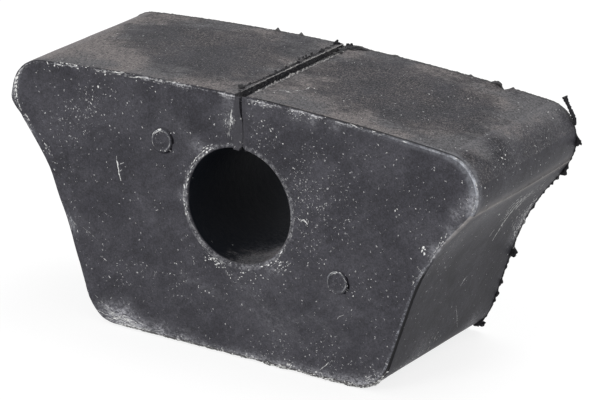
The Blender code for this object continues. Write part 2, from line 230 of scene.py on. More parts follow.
class Net:
    """Adds nodes to a tree and links or sets their sockets in one call."""

    def __init__(self, tree: Tree) -> None:
        """Keeps the tree that the nodes go into."""
        self.tree = tree

    @classmethod
    def group(cls, name: str, kind: str, inputs: dict[str, Any],
              output: tuple[str, str]) -> tuple["Net", dict[str, Socket]]:
        """Makes a node group with named inputs and one output.

        Args:
            name: The group's name.
            kind: Shader or Geometry.
            inputs: Each input's default by name, or its socket type where it has no default.
            output: Name and socket type of the output.

        Returns:
            The group's net, and its inputs by name.
        """
        tree = bpy.data.node_groups.new(name, kind + "NodeTree")
        for label, default in inputs.items():
            bare = isinstance(default, str)
            socket_type = default if bare else {float: FLOAT, int: "NodeSocketInt"}[type(default)]
            socket = tree.interface.new_socket(name=label, in_out="INPUT", socket_type=socket_type)
            if not bare:
                socket.default_value = default
        tree.interface.new_socket(name=output[0], in_out="OUTPUT", socket_type=output[1])
        net = cls(tree)
        return net, {socket.name: socket for socket in net.add("NodeGroupInput").outputs if socket.name}

    def give(self, result: Socket) -> Tree:
        """Ends a group with its result and returns its tree."""
        self.add("NodeGroupOutput", result)
        return self.tree

    def add(self, kind: str, *values: Any, **given: Any) -> Node:
        """Adds one node.

        Args:
            kind: The node's type name.
            values: Values or sockets for its inputs in order, None for a default.
            given: Its properties, and its inputs by their capitalised names, with _ for each space.

        Returns:
            The node.
        """
        node = self.tree.nodes.new(kind)
        for key, value in given.items():
            if key[0].islower():
                setattr(node, key, value)
        for socket, value in zip(node.inputs, values):
            self.feed(socket, value)
        for key, value in given.items():
            if key[0].isupper():
                self.feed(node.inputs[key.replace("_", " ")], value)
        return node

    def get(self, kind: str, *values: Any, **given: Any) -> Socket:
        """Adds one node and returns its first output."""
        return self.add(kind, *values, **given).outputs[0]

    def feed(self, socket: Socket, value: Any) -> None:
        """Links a socket to an input, or sets the input's value."""
        if isinstance(value, Socket):
            self.tree.links.new(value, socket)
        elif value is not None:
            socket.default_value = value

    def math(self, operation: str, *values: Any, clamp: bool = False) -> Socket:
        """Adds a Math node."""
        return self.get("ShaderNodeMath", *values, operation=operation, use_clamp=clamp)

    def times(self, *values: Any, clamp: bool = False) -> Socket:
        """Multiplies numbers."""
        return self._chain("MULTIPLY", values, clamp)

    def plus(self, *values: Any, clamp: bool = False) -> Socket:
        """Adds numbers."""
        return self._chain("ADD", values, clamp)

    def most(self, *values: Any) -> Socket:
        """The largest of some numbers."""
        return self._chain("MAXIMUM", values, False)

    def minus(self, first: Any, second: Any, clamp: bool = False) -> Socket:
        """Subtracts a number from another."""
        return self.math("SUBTRACT", first, second, clamp=clamp)

    def size(self, value: Any) -> Socket:
        """A number without its sign."""
        return self.math("ABSOLUTE", value)

    def _chain(self, operation: str, values: Sequence[Any], clamp: bool) -> Socket:
        """Applies one operation to two or more numbers in turn."""
        total = values[0]
        for i, value in enumerate(values[1:], 2):
            total = self.math(operation, total, value, clamp=clamp and i == len(values))
        return total

    def vector(self, operation: str, *values: Any) -> Socket:
        """Adds a Vector Math node."""
        return self.live("ShaderNodeVectorMath", values, operation=operation)

    def live(self, kind: str, values: Sequence[Any], **given: Any) -> Socket:
        """Adds a node whose settings hide some sockets, and feeds the ones that it uses."""
        node = self.add(kind, **given)
        for socket, value in zip([s for s in node.inputs if s.enabled], values):
            self.feed(socket, value)
        return next(s for s in node.outputs if s.enabled)

    def scale(self, vector: Any, factor: Any) -> Socket:
        """Scales a vector or a colour."""
        return self.get("ShaderNodeVectorMath", vector, operation="SCALE", Scale=factor)

    def split(self, vector: Any) -> Sequence[Socket]:
        """The three parts of a vector."""
        return self.add("ShaderNodeSeparateXYZ", vector).outputs[:3]

    def join(self, *parts: Any) -> Socket:
        """A vector of three parts."""
        return self.get("ShaderNodeCombineXYZ", *parts)

    def spread(self, value: Any, low: float, high: float, first: float = 0.0, last: float = 1.0) -> Socket:
        """Takes the span from low to high smoothly to the one from first to last."""
        return self.get("ShaderNodeMapRange", value, low, high, first, last, interpolation_type="SMOOTHSTEP")

    def noise(self, at: Any, scale: Any, detail: float = 2.0, rough: float = 0.5,
              twist: float = 0.0) -> Socket:
        """Adds a Noise Texture."""
        return self.get("ShaderNodeTexNoise", Vector=at, Scale=scale, Detail=detail,
                        Roughness=rough, Distortion=twist)

    def blend(self, share: Any, first: Any, second: Any, kind: str = "RGBA") -> Socket:
        """Mixes two colours, vectors or numbers by a share."""
        return self.live("ShaderNodeMix", (share, first, second), data_type=kind)

    def painted(self, name: str) -> Socket:
        """A painted value of the mesh as a number."""
        return self.add("ShaderNodeAttribute", attribute_name=name).outputs["Fac"]

    def effect(self, tree: Tree, **given: Any) -> Socket:
        """Puts a shader group into a material."""
        return self.get("ShaderNodeGroup", node_tree=tree, **given)

    def coat(self, height: Socket, strength: float, depth: float, **given: Any) -> None:
        """Ends a material with its surface.

        Args:
            height: The height of its bumps.
            strength: Their strength.
            depth: Their depth in metres.
            given: The surface's inputs by name, with _ for each space.
        """
        bump = self.get("ShaderNodeBump", Strength=strength, Distance=depth, Height=height)
        self.add("ShaderNodeOutputMaterial", self.get("ShaderNodeBsdfPrincipled", Normal=bump, **given))


class SurfaceEffects:
    """The shader node groups that the finishes share. Their vectors are in millimetres."""

    def __init__(self) -> None:
        """Builds each group once."""
        self.specks = self._specks()
        self.grain = self._grain()
        self.patches = self._patches()
        self.scuff = self._scuff()

    @staticmethod
    def _specks() -> Tree:
        """Scattered ragged specks, one at most in each Voronoi cell."""
        inputs = {"Vector": VECTOR, "Per mm": 1.0, "Amount": 0.3, "Size": 0.3}
        net, given = Net.group("specks", "Shader", inputs, ("Mask", FLOAT))
        at, per_mm, amount, size = given.values()
        stir = net.add("ShaderNodeTexNoise", Vector=at, Scale=3.0, Detail=3.0, Roughness=0.7).outputs[1]
        moved = net.vector("ADD", at, net.scale(stir, 1.1))
        cell = net.add("ShaderNodeTexVoronoi", Vector=moved, Scale=per_mm, Randomness=1.0)
        lottery = net.add("ShaderNodeSeparateColor", cell.outputs["Color"]).outputs
        radius = net.times(size, net.math("POWER", lottery[1], 2.0))
        shape = net.spread(net.minus(radius, cell.outputs["Distance"]), 0.0, 0.06)
        return net.give(net.times(shape, net.math("LESS_THAN", lottery[0], amount)))

    @staticmethod
    def _grain() -> Tree:
        """Height of the moulded skin: a fine tooth on a soft orange peel."""
        inputs = {"Vector": VECTOR, "Tooth": 1.0, "Peel": 1.0}
        net, given = Net.group("grain", "Shader", inputs, ("Height", FLOAT))
        at, tooth, peel = given.values()
        fine = net.times(net.noise(at, 4.5, 3.0, 0.6), tooth)
        return net.give(net.plus(fine, net.times(net.noise(at, 0.7, 2.0, 0.5), peel)))

    @staticmethod
    def _patches() -> Tree:
        """Breaks a soft painted value up into cloudy patches with worn edges."""
        inputs = {"Vector": VECTOR, "Value": 0.5, "Per mm": 0.2, "Contrast": 0.5}
        net, given = Net.group("patches", "Shader", inputs, ("Mask", FLOAT))
        at, value, per_mm, contrast = given.values()
        swing = net.times(net.minus(net.noise(at, per_mm, 6.0, 0.62, 0.3), 0.5), contrast)
        mask = net.spread(net.plus(value, swing), 0.12, 0.88)
        return net.give(net.times(mask, net.times(value, 5.0, clamp=True)))

    @staticmethod
    def _scuff() -> Tree:
        """A broken light line where a signed distance is near its centre."""
        inputs = {"Vector": VECTOR, "Distance": 0.0, "Centre": 0.0, "Width": 0.3, "Break": 0.5, "Wear": 1.0}
        net, given = Net.group("scuff", "Shader", inputs, ("Mask", FLOAT))
        at, distance, centre, width, gaps, wear = given.values()
        width = net.times(width, net.plus(net.times(wear, 0.9), 0.45))
        wander = net.times(net.minus(net.noise(at, 0.9, 3.0), 0.5), 0.5)
        away = net.size(net.minus(net.plus(distance, wander), centre))
        line = net.minus(1.0, net.math("DIVIDE", away, width), clamp=True)
        torn = net.times(net.minus(net.noise(at, 2.4, 4.0, 0.7), 0.5), 4.0)
        patch = net.times(net.minus(net.noise(at, 0.33, 2.0), 0.5), 3.0)
        torn = net.plus(torn, patch, net.plus(net.times(wear, 0.6), 1.0))
        line = net.times(net.times(line, 1.6, clamp=True), net.minus(torn, gaps, clamp=True))
        return net.give(net.times(line, net.times(wear, 1.4, clamp=True)))


def new_material(name: str) -> tuple[Material, Net, Socket]:
    """Makes an empty material.

    Args:
        name: The material's name.

    Returns:
        The material, its net and the object coordinates in mm.
    """
    material = bpy.data.materials.new(name)
    net = empty_net(material)
    where = net.add("ShaderNodeTexCoord").outputs["Object"]
    return material, net, net.get("ShaderNodeVectorMath", where, (1 / MM,) * 3, operation="MULTIPLY")


def empty_net(owner: Material | bpy.types.World) -> Net:
    """The emptied node tree of a material or a world."""
    owner.use_nodes = True
    owner.node_tree.nodes.clear()
    return Net(owner.node_tree)


@dataclass(frozen=True)
class MouldedRubber:
    """Black rubber as moulded, with dust, haze, specks and scuffed edges, and painted shade and highlights in
    its hollows, grooves, creases and edges.
    """

    dark: Row = (0.0322, 0.0314, 0.0392, 1.0)
    pale: Row = (0.0560, 0.0548, 0.0655, 1.0)
    dust: Row = (0.260, 0.238, 0.234, 1.0)
    grey_dust: Row = (0.173, 0.170, 0.177, 1.0)
    haze: Row = (0.52, 0.52, 0.56, 1.0)
    speck: Row = (0.85, 0.85, 0.85, 1.0)
    line: Row = (0.80, 0.80, 0.83, 1.0)
    # A bluish line, partly wear and partly a painted highlight on the edges and the pin marks' rims.
    worn_sheen: Row = (0.50, 0.52, 0.57, 1.0)
    # A painted highlight along each crease and the right front edge.
    fold: Row = (0.36, 0.335, 0.32, 1.0)
    # Painted shade, deep in the bore and the slot.
    deep: Row = (0.0086, 0.0105, 0.0155, 1.0)
    # Painted shade, near black, in the sunken groove and seam lines.
    cut: Row = (0.005, 0.005, 0.006, 1.0)
    rough: float = 0.52
    wipe_angle: float = math.radians(38)
    front: float = -21.6
    bore_height: float = 33.5
    bore_radius: float = 12.7
    crown: float = 57.76
    crown_fall: float = 0.0157

    def build(self, effects: SurfaceEffects) -> Material:
        """Makes the material.

        Args:
            effects: The shader groups.

        Returns:
            The material.
        """
        material, net, at = new_material("rubber_moulded")
        tooth = net.noise(at, 2.4, 4.0, 0.9)
        dark, wear, inset = [net.painted(name) for name in ("dark", "wear", "inset")]
        hollow_shade = self._hollow_shade(net, at)
        dusty = self._dusty(net, effects, at, tooth)
        dust_tone = net.blend(net.spread(net.noise(at, 0.07, 3.0), 0.42, 0.58), self.dust, self.grey_dust)
        rim = self._rim(net, effects, at, inset, wear)
        # Painted shade: the groove and the seam go near black where they sink in.
        groove = net.times(self._band(net, inset, -0.02, 0.26), net.painted("groove"))
        seam = net.times(self._band(net, inset, -0.36, 0.28), net.painted("seam"))
        cut = net.most(groove, seam)
        colour = self._skin(net, at, tooth, dark)
        # In turn: painted shade in the bore and slot, dust, haze, specks, a bluish edge line that is partly
        # painted highlight, scuffs, a painted highlight on the creases, and painted shade in the groove and
        # seam.
        for share, tone in (
            (hollow_shade, self.deep), (dusty, dust_tone), (self._hazy(net, at), self.haze),
            (self._dots(net, effects, at), self.speck), (self._worn_sheen(net, at, inset), self.worn_sheen),
            (rim, self.line), (net.times(self._crease_highlight(net, at, inset), 0.9), self.fold), (cut, self.cut),
        ):
            colour = net.blend(share, colour, tone)
        rough = net.plus(net.times(dusty, 0.22), net.times(dark, 0.3), self.rough)
        rough = net.plus(rough, net.spread(tooth, 0.3, 0.7, -0.05, 0.05), clamp=True)
        shine = net.minus(0.24, net.most(net.times(hollow_shade, 0.19), net.times(dark, 0.3)), clamp=True)
        grain = net.effect(effects.grain, Vector=at, Tooth=0.5, Peel=1.0)
        height = net.plus(grain, net.times(cut, -3.0), net.times(rim, 0.8))
        net.coat(height, 0.6, 0.00012, Base_Color=colour, Roughness=rough, Specular_IOR_Level=shine)
        return material

    def _skin(self, net: Net, at: Socket, tooth: Socket, dark: Socket) -> Socket:
        """The bare rubber's colour: cloudy, toothed, and wiped aslant."""
        cloud = net.spread(net.noise(at, 0.11, 6.0, 0.65, 0.5), 0.35, 0.65)
        slant = net.get("ShaderNodeVectorRotate", rotation_type="Y_AXIS", Vector=at, Angle=self.wipe_angle)
        wiped = net.noise(net.vector("MULTIPLY", slant, (0.10, 0.5, 0.75)), 1.0, 4.0, 0.6)
        keep = net.minus(1.0, dark, clamp=True)
        for field, span in (
            (tooth, (0.36, 0.64, 0.62, 1.42)), (wiped, (0.35, 0.65, 0.91, 1.09)),
            (net.noise(at, 1.1, 5.0, 0.85), (0.38, 0.62, 0.84, 1.17)),
        ):
            keep = net.times(keep, net.spread(field, *span))
        return net.scale(net.blend(cloud, self.dark, self.pale), keep)

    def _dusty(self, net: Net, effects: SurfaceEffects, at: Socket, tooth: Socket) -> Socket:
        """Dust in patches, with finer grains all over the crown and none on the front end."""
        mottle = net.noise(at, 1.0, 4.0, 0.75)
        dust = net.effect(effects.patches, Vector=net.vector("MULTIPLY", at, (0.6, 1.0, 1.0)),
                          Value=net.painted("dust"), Per_mm=0.28, Contrast=1.7)
        dusty = net.times(dust, net.spread(tooth, 0.40, 0.60, 0.05, 1.6))
        dusty = net.times(dusty, net.spread(mottle, 0.36, 0.62, 0.45, 1.5), clamp=True)
        _, y, z = net.split(at)
        within = net.spread(y, self.front + 0.1, self.front + 0.35)
        grains = net.spread(net.noise(at, 2.6, 3.0, 0.9), 0.49, 0.61, 0.0, 0.7)
        crown = net.times(net.math("GREATER_THAN", z, 50.0), within)
        return net.most(net.times(dusty, within), net.times(grains, crown))

    def _hazy(self, net: Net, at: Socket) -> Socket:
        """Chalky haze in short streaks."""
        streaks = net.noise(net.vector("MULTIPLY", at, (0.8, 1.0, 1.2)), 1.5, 6.0, 0.8, 0.5)
        return net.times(net.painted("haze"), net.spread(streaks, 0.40, 0.66, 0.12, 1.3), clamp=True)

    def _dots(self, net: Net, effects: SurfaceEffects, at: Socket) -> Socket:
        """Fine specks of two sizes."""
        density = net.painted("specks")
        fine, tiny = [
            net.effect(effects.specks, Vector=at, Per_mm=per_mm, Amount=net.times(density, share), Size=size)
            for per_mm, share, size in ((1.3, 0.4, 0.26), (2.9, 0.6, 0.40))
        ]
        return net.times(net.most(fine, tiny), 0.8)

    def _rim(self, net: Net, effects: SurfaceEffects, at: Socket, inset: Socket, wear: Socket) -> Socket:
        """Scuffs along the front edge and round the bore's mouth."""
        near, far = [
            net.effect(effects.scuff, Vector=at, Distance=inset, Centre=centre, Width=width,
                       Break=gaps, Wear=wear)
            for centre, width, gaps in ((0.14, 0.2, 0.95), (0.55, 0.6, 1.35))
        ]
        return net.most(near, net.times(far, 0.55), self._mouth(net, effects, at, wear))

    def _hollow_shade(self, net: Net, at: Socket) -> Socket:
        """Painted shade: one deep inside the bore and the slot, where the colour goes dark."""
        x, y, z = net.split(at)
        top = net.minus(self.crown, net.times(y, self.crown_fall))
        deep = net.spread(net.minus(top, z), -0.1, 0.14)
        thin = net.spread(net.size(net.plus(x, 0.075)), 1.46, 1.56, 1.0, 0.0)
        above_bore = net.math("GREATER_THAN", z, self.bore_height + 6.5)
        behind = net.times(above_bore, net.math("GREATER_THAN", y, self.front + 0.15))
        slot = net.times(deep, thin, behind)
        away = net.vector("LENGTH", net.join(x, net.minus(z, self.bore_height), 0.0))
        wall = net.spread(away, self.bore_radius + 0.2, self.bore_radius + 0.35, 1.0, 0.0)
        bore = net.times(wall, net.spread(y, self.front + 0.25, self.front + 0.6))
        return net.most(net.times(slot, 0.32), bore)

    def _mouth(self, net: Net, effects: SurfaceEffects, at: Socket, wear: Socket) -> Socket:
        """The scuffed ring round the bore's mouth, in a faint paler band."""
        flat = net.vector("SUBTRACT", at, (0.0, 0.0, self.bore_height))
        away = net.vector("LENGTH", net.vector("MULTIPLY", flat, (1.0, 0.0, 1.0)))
        away = net.minus(away, self.bore_radius)
        ring = net.effect(effects.scuff, Vector=at, Distance=away, Centre=0.55, Width=0.3,
                          Break=1.6, Wear=wear)
        worn = net.spread(net.noise(at, 1.6, 4.0, 0.7), 0.42, 0.64, 0.0, 0.22)
        ring = net.most(ring, net.times(self._band(net, away, 0.6, 0.8), worn))
        return net.times(ring, net.spread(net.split(at)[1], self.front + 0.1, self.front + 0.4, 1.0, 0.0))

    def _worn_sheen(self, net: Net, at: Socket, inset: Socket) -> Socket:
        """A soft bluish line along the worn front edges and the pin marks' rims, partly wear and partly a
        painted highlight, and a broken one inside the flank's groove.
        """
        rim, band = net.painted("rim"), self._band
        worn = net.spread(net.noise(at, 0.9, 5.0, 0.7), 0.34, 0.62, 0.25, 1.0)
        step = net.minus(inset, net.times(net.math("LESS_THAN", net.split(at)[0], 0.0), 0.6))
        line = net.times(band(net, step, 0.2, 0.46), rim)
        halo = net.times(band(net, inset, 0.4, 2.4), rim)
        groove = net.times(band(net, inset, 0.5, 0.44), net.painted("groove"))
        broken = net.spread(net.noise(at, 2.0, 4.0, 0.9), 0.48, 0.64, 0.05, 0.72)
        both = net.most(line, net.most(net.times(halo, 0.3), net.times(groove, broken)))
        return net.times(both, worn, clamp=True)

    def _crease_highlight(self, net: Net, at: Socket, inset: Socket) -> Socket:
        """A painted highlight along the crease under each ear, in a soft paler band, and along the right
        front edge below it.
        """
        away = net.painted("crease")
        x, depth, z = net.split(at)
        wide = net.spread(depth, -21.0, 15.0, 1.15, 0.36)
        core = net.times(net.spread(net.math("DIVIDE", away, wide), 0.1, 1.0, 1.0, 0.0), 0.8)
        glow = net.times(net.spread(away, 0.2, 2.8, 1.0, 0.0), 0.26)
        # Breaks the painted highlight up in patches.
        worn = net.spread(net.noise(at, 0.7, 4.0, 0.7), 0.3, 0.6, 0.5, 1.0)
        side = net.times(net.spread(inset, -0.9, -0.3, 1.0, 0.0), net.spread(depth, 21.1, 21.4, 1.0, 0.0))
        below = net.times(net.math("GREATER_THAN", x, 0.0), net.math("LESS_THAN", z, 43.6))
        fading = net.spread(away, 2.0, 17.0, 0.7, 0.0)
        edge = net.times(self._band(net, inset, 0.0, 0.6), fading, below)
        edge = net.times(edge, net.math("LESS_THAN", depth, -15.0))
        return net.times(net.most(net.times(net.most(core, glow), side), edge), worn)

    @staticmethod
    def _band(net: Net, value: Any, centre: float, width: float) -> Socket:
        """A soft band where a value is near its centre."""
        return net.spread(net.size(net.minus(value, centre)), width * 0.35, width, 1.0, 0.0)


@dataclass(frozen=True)
class TornRubber:
    """Rubber with a torn skin: lips, flash and the web. Its default black, far below the moulded skin's, is
    partly its own and partly painted shade.
    """

    name: str = "rubber_torn"
    # Near black: partly the torn rubber's own tone and partly painted shade.
    dark: Row = (0.008, 0.008, 0.010, 1.0)
    pale: Row = (0.022, 0.021, 0.025, 1.0)
    speck: Row = (0.46, 0.45, 0.445, 1.0)
    specks: float = 0.12
    rough: float = 0.62

    def build(self, effects: SurfaceEffects) -> Material:
        """Makes the material.

        Args:
            effects: The shader groups.

        Returns:
            The material.
        """
        material, net, at = new_material(self.name)
        cloud = net.spread(net.noise(at, 0.9, 4.0, 0.7, 0.5), 0.3, 0.7)
        dots = net.effect(effects.specks, Vector=at, Per_mm=1.7, Amount=self.specks, Size=0.5)
        colour = net.blend(net.times(dots, 0.8), net.blend(cloud, self.dark, self.pale), self.speck)
        rough = net.spread(cloud, 0.0, 1.0, self.rough - 0.1, self.rough + 0.1)
        grain = net.effect(effects.grain, Vector=at, Tooth=1.2, Peel=2.0)
        net.coat(grain, 0.7, 0.0002, Base_Color=net.blend(net.painted("shade"), colour, self.speck),
                 Roughness=rough, Specular_IOR_Level=0.3)
        return material


@dataclass(frozen=True)
class Talc:
    """Pale mould talc and rubbed rubber dust, caked into flakes and scratches; its pale tone also draws
    painted highlights on the left ear and the pin marks' rims.
    """

    low: Row = (0.10, 0.10, 0.107, 1.0)
    high: Row = (0.90, 0.90, 0.89, 1.0)
    rough: float = 0.85

    def build(self, effects: SurfaceEffects) -> Material:
        """Makes the material.

        Args:
            effects: The shader groups.

        Returns:
            The material.
        """
        material, net, at = new_material("talc_flakes")
        worn = net.effect(effects.patches, Vector=at, Value=net.painted("shade"), Per_mm=2.5, Contrast=0.9)
        grain = net.effect(effects.grain, Vector=at, Tooth=1.0, Peel=0.5)
        net.coat(grain, 0.6, 0.0001, Base_Color=net.blend(worn, self.low, self.high), Roughness=self.rough)
        return material


def link(name: str, data: Any) -> Thing:
    """Puts a new object with its data into the scene."""
    thing = bpy.data.objects.new(name, data)
    bpy.context.scene.collection.objects.link(thing)
    return thing


@contextmanager
def rework(mesh: Mesh) -> Iterator[bmesh.types.BMesh]:
    """Opens a mesh for changes, and writes them back at the end."""
    work = bmesh.new()
    work.from_mesh(mesh)
    yield work
    work.to_mesh(mesh)
    work.free()


def read(mesh: Mesh, name: str) -> np.ndarray:
    """The places in metres, co, or the normals, normal, of a mesh's points."""
    flat = np.empty(len(mesh.vertices) * 3, np.float32)
    mesh.vertices.foreach_get(name, flat)
    return flat.reshape(-1, 3)


def store(mesh: Mesh, name: str, values: Any) -> None:
    """Stores a named value for each of a mesh's points."""
    layer = mesh.attributes.new(name, "FLOAT", "POINT")
    layer.data.foreach_set("value", np.asarray(values, np.float32))


def mesh_object(name: str, points: Sequence[Any], faces: Sequence[Sequence[int]]) -> Thing:
    """Makes a mesh object from points in millimetres.

    Args:
        name: The object's name.
        points: Its points.
        faces: Its faces, as lists of point numbers.

    Returns:
        The object, linked to the scene and with its faces turned outwards.
    """
    mesh = bpy.data.meshes.new(name)
    mesh.from_pydata([tuple(c * MM for c in p) for p in points], [], faces)
    with rework(mesh) as work:
        bmesh.ops.recalc_face_normals(work, faces=work.faces)
    return link(name, mesh)


def guide(name: str, path: Sequence[Vector], radii: Sequence[float] | None = None) -> Thing:
    """Makes a curve in the XZ plane for a tree to follow, left in millimetres.

    Args:
        name: The curve's name.
        path: Its points, with X across and Y up.
        radii: A radius for each point, where the tree reads one.

    Returns:
        The curve object.
    """
    curve = bpy.data.curves.new(name, "CURVE")
    curve.dimensions = "3D"
    spline = curve.splines.new("POLY")
    spline.points.add(len(path) - 1)
    for i, (point, place) in enumerate(zip(spline.points, path)):
        point.co = (place.x, 0.0, place.y, 1.0)
        point.radius = radii[i] if radii else 1.0
    return link(name, curve)


def coded_points(name: str, rows: Sequence[Row]) -> Thing:
    """Makes a mesh of loose points that hold numbers for a tree to read."""
    mesh = bpy.data.meshes.new(name)
    mesh.from_pydata(rows, [], [])
    return link(name, mesh)


def columns_for(path: Sequence[Vector], count: int,
                creases: Sequence[Vector]) -> tuple[list[Row], float, list[float]]:
    """Places of the columns along a path, closer together at each crease.

    Args:
        path: The path's points.
        count: Columns before the ones at the creases.
        creases: Points of the path where it folds.

    Returns:
        The columns as shares of the path, its length, and each crease's distance along it.
    """
    steps = [(b - a).length for a, b in zip(path, path[1:])]
    run = [0.0]
    for step in steps:
        run.append(run[-1] + step)
    length = run[-1]
    folds = [run[min(range(len(path)), key=lambda i: (path[i] - crease).length)] for crease in creases]
    shares = [length * i / (count - 1) for i in range(count)]
    extra = [fold + side * away for fold in folds for away in (0.0, 0.14, 0.3, 0.5, 0.8) for side in (-1, 1)]
    kept = [x for x in shares if all(abs(x - fold) > 1.0 for fold in folds)]
    return [(x / length, 0.0, 0.0) for x in sorted(set(kept + extra))], length, folds


def grow(name: str, trees: Sequence[tuple[Tree, dict[str, Any]]], helpers: Iterable[Thing] = ()) -> Thing:
    """Runs geometry trees one after another and keeps the result as a plain mesh.

    Args:
        name: Name of the finished object.
        trees: Each tree with the values of its inputs by name.
        helpers: Objects that are removed afterwards.

    Returns:
        The finished object.
    """
    host = link(name + "_host", bpy.data.meshes.new(name + "_host"))
    for tree, values in trees:
        modifier = host.modifiers.new(tree.name, "NODES")
        modifier.node_group = tree
        for item in tree.interface.items_tree:
            if item.in_out == "INPUT" and item.name in values:
                modifier[item.identifier] = values[item.name]
    host.update_tag()
    bpy.context.view_layer.update()
    graph = bpy.context.evaluated_depsgraph_get()
    grown = host.evaluated_get(graph)
    mesh = bpy.data.meshes.new_from_object(grown, preserve_all_data_layers=True, depsgraph=graph)
    mesh.name = name
    for helper in (host, *helpers):
        bpy.data.objects.remove(helper, do_unlink=True)
    return link(name, mesh)


def sweep_tree(name: str, fin: bool) -> Tree:
    """The tree that sweeps a coded section along the outline.

    The section's points hold a share from the inner to the outer path, a distance behind
    the front end and an offset. With fin set the inner path is left out, the share counts
    along the fin's reach, and the outline's radii add to that reach.

    Args:
        name: The tree's name.
        fin: Whether the tree makes a thin fin and not the body.

    Returns:
        The tree.
    """
    inputs = {
        "Geometry": GEOMETRY, "Outline": OBJECT, "Inner": OBJECT, "Section": OBJECT, "Columns": OBJECT,
        "Around": 500, "Rows": 10, "Length": 43.0, "Front": -21.5, "Rear scale": 0.99,
        "Outline length": 300.0, "Right crease": 80.0, "Left crease": 220.0, "Raggedness": 0.0,
        "Material": MATERIAL,
    }
    net, given = Net.group(name, "Geometry", inputs, ("Geometry", GEOMETRY))
    grid = net.get("GeometryNodeMeshGrid", 1.0, 1.0, given["Around"], given["Rows"])
    index = net.get("GeometryNodeInputIndex")
    column = net.math("FLOOR", net.math("DIVIDE", net.plus(index, 0.5), given["Rows"]))
    row = net.minus(index, net.times(column, given["Rows"]))
    place = net.get("GeometryNodeInputPosition")

    def shape_of(name: str) -> Socket:
        """The geometry of one of the helper objects."""
        return net.add("GeometryNodeObjectInfo", given[name]).outputs["Geometry"]

    def coded(name: str, number: Socket) -> Sequence[Socket]:
        """Reads a coded point of a helper mesh as three numbers."""
        return net.split(net.get("GeometryNodeSampleIndex", data_type="FLOAT_VECTOR", domain="POINT",
                                 Geometry=shape_of(name), Value=place, Index=number))

    factor = coded("Columns", column)[0]

    def follow(path: str, data: Socket | None = None) -> tuple[Socket, Socket, Socket]:
        """Samples a path at the column's share: the data, the place and the way outwards."""
        node = net.add("GeometryNodeSampleCurve", mode="FACTOR",
                       Curves=shape_of(path), Factor=factor, Value=data)
        value, place, tangent = [node.outputs[key] for key in ("Value", "Position", "Tangent")]
        return value, place, net.vector("CROSS_PRODUCT", tangent, (0.0, 1.0, 0.0))

    share, along, offset = coded("Section", row)
    extra, outer, out_way = follow("Outline", net.get("GeometryNodeInputRadius"))
    taper = net.get("ShaderNodeMapRange", along, 0.0, given["Length"], 1.0, given["Rear scale"])
    out_place = net.vector("MULTIPLY", outer, net.join(taper, 1.0, taper))
    if fin:
        ragged = net.math("POWER", net.noise(outer, 0.9, 4.0, 0.75), 2.2)
        reach = net.most(net.plus(net.times(ragged, given["Raggedness"]), extra), 0.02)
        spot = net.vector("ADD", out_place, net.scale(out_way, net.plus(net.times(share, reach), offset)))
        wave = net.times(net.minus(net.noise(outer, 1.4, 3.0), 0.5), 0.5)
        depth = net.plus(along, net.times(wave, share))
    else:
        _, inner, in_way = follow("Inner")
        way = net.vector("NORMALIZE", net.blend(share, in_way, out_way, "VECTOR"))
        spot = net.vector("ADD", net.blend(share, inner, out_place, "VECTOR"), net.scale(way, offset))
        depth = along
    deep = net.join(0.0, net.plus(depth, given["Front"]), 0.0)
    final = net.scale(net.vector("ADD", spot, deep), MM)
    shaped = net.get("GeometryNodeSetPosition", Geometry=grid, Position=final)
    if not fin:
        inset = net.minus(net.times(net.minus(1.0, share), net.vector("DISTANCE", inner, outer)), along)
        run = net.times(factor, given["Outline length"])
        away = [net.size(net.minus(run, given[name])) for name in ("Right crease", "Left crease")]
        for name, number in (("inset", inset), ("crease", net.math("MINIMUM", *away))):
            shaped = net.get("GeometryNodeStoreNamedAttribute", data_type="FLOAT", domain="POINT",
                             Geometry=shaped, Name=name, Value=number)
    merged = net.get("GeometryNodeMergeByDistance", Geometry=shaped, Distance=WELD)
    smooth = net.get("GeometryNodeSetShadeSmooth", Geometry=merged, Shade_Smooth=True)
    real = net.get("GeometryNodeRealizeInstances", Geometry=smooth)
    return net.give(net.get("GeometryNodeSetMaterial", Geometry=real, Material=given["Material"]))


def relief_tree() -> Tree:
    """The tree that moves a surface in and out along its normals by seeded noise."""
    inputs = {
        "Geometry": GEOMETRY, "Swell": 0.1, "Swell size": 18.0, "Ripple": 0.03, "Ripple size": 2.5,
        "Edge nick": 0.1, "Crest": 0.1, "Rear": 21.5, "Seed": 4.0,
    }
    net, given = Net.group("relief", "Geometry", inputs, ("Geometry", GEOMETRY))
    place = net.scale(net.get("GeometryNodeInputPosition"), 1 / MM)
    moved = net.vector("ADD", place, net.join(given["Seed"], 0.0, 0.0))

    def layer(name: str, detail: float) -> Socket:
        """One layer of noise, centred on zero."""
        field = net.noise(moved, net.math("DIVIDE", 1.0, given[name + " size"]), detail)
        return net.times(net.minus(field, 0.5), given[name])

    inset, crease = [
        net.get("GeometryNodeInputNamedAttribute", data_type="FLOAT", Name=mask.value)
        for mask in (Mask.INSET, Mask.CREASE)
    ]
    near = net.spread(net.size(inset), 0.0, 1.2, 1.0, 0.0)
    cut = net.times(near, net.spread(net.noise(moved, 0.8, 4.0, 0.7), 0.52, 0.72), given["Edge nick"])
    crest = net.times(net.spread(crease, 0.0, 0.8, 1.0, 0.0), given["Crest"])
    before_rear = net.math("LESS_THAN", net.split(place)[1], given["Rear"])
    crest = net.times(crest, net.spread(inset, -0.8, 0.0, 1.0, 0.0), before_rear)
    total = net.plus(net.minus(net.plus(layer("Swell", 1.0), layer("Ripple", 3.0)), cut), crest)
    push = net.scale(net.get("GeometryNodeInputNormal"), net.times(total, MM))
    return net.give(net.get("GeometryNodeSetPosition", Geometry=given["Geometry"], Offset=push))


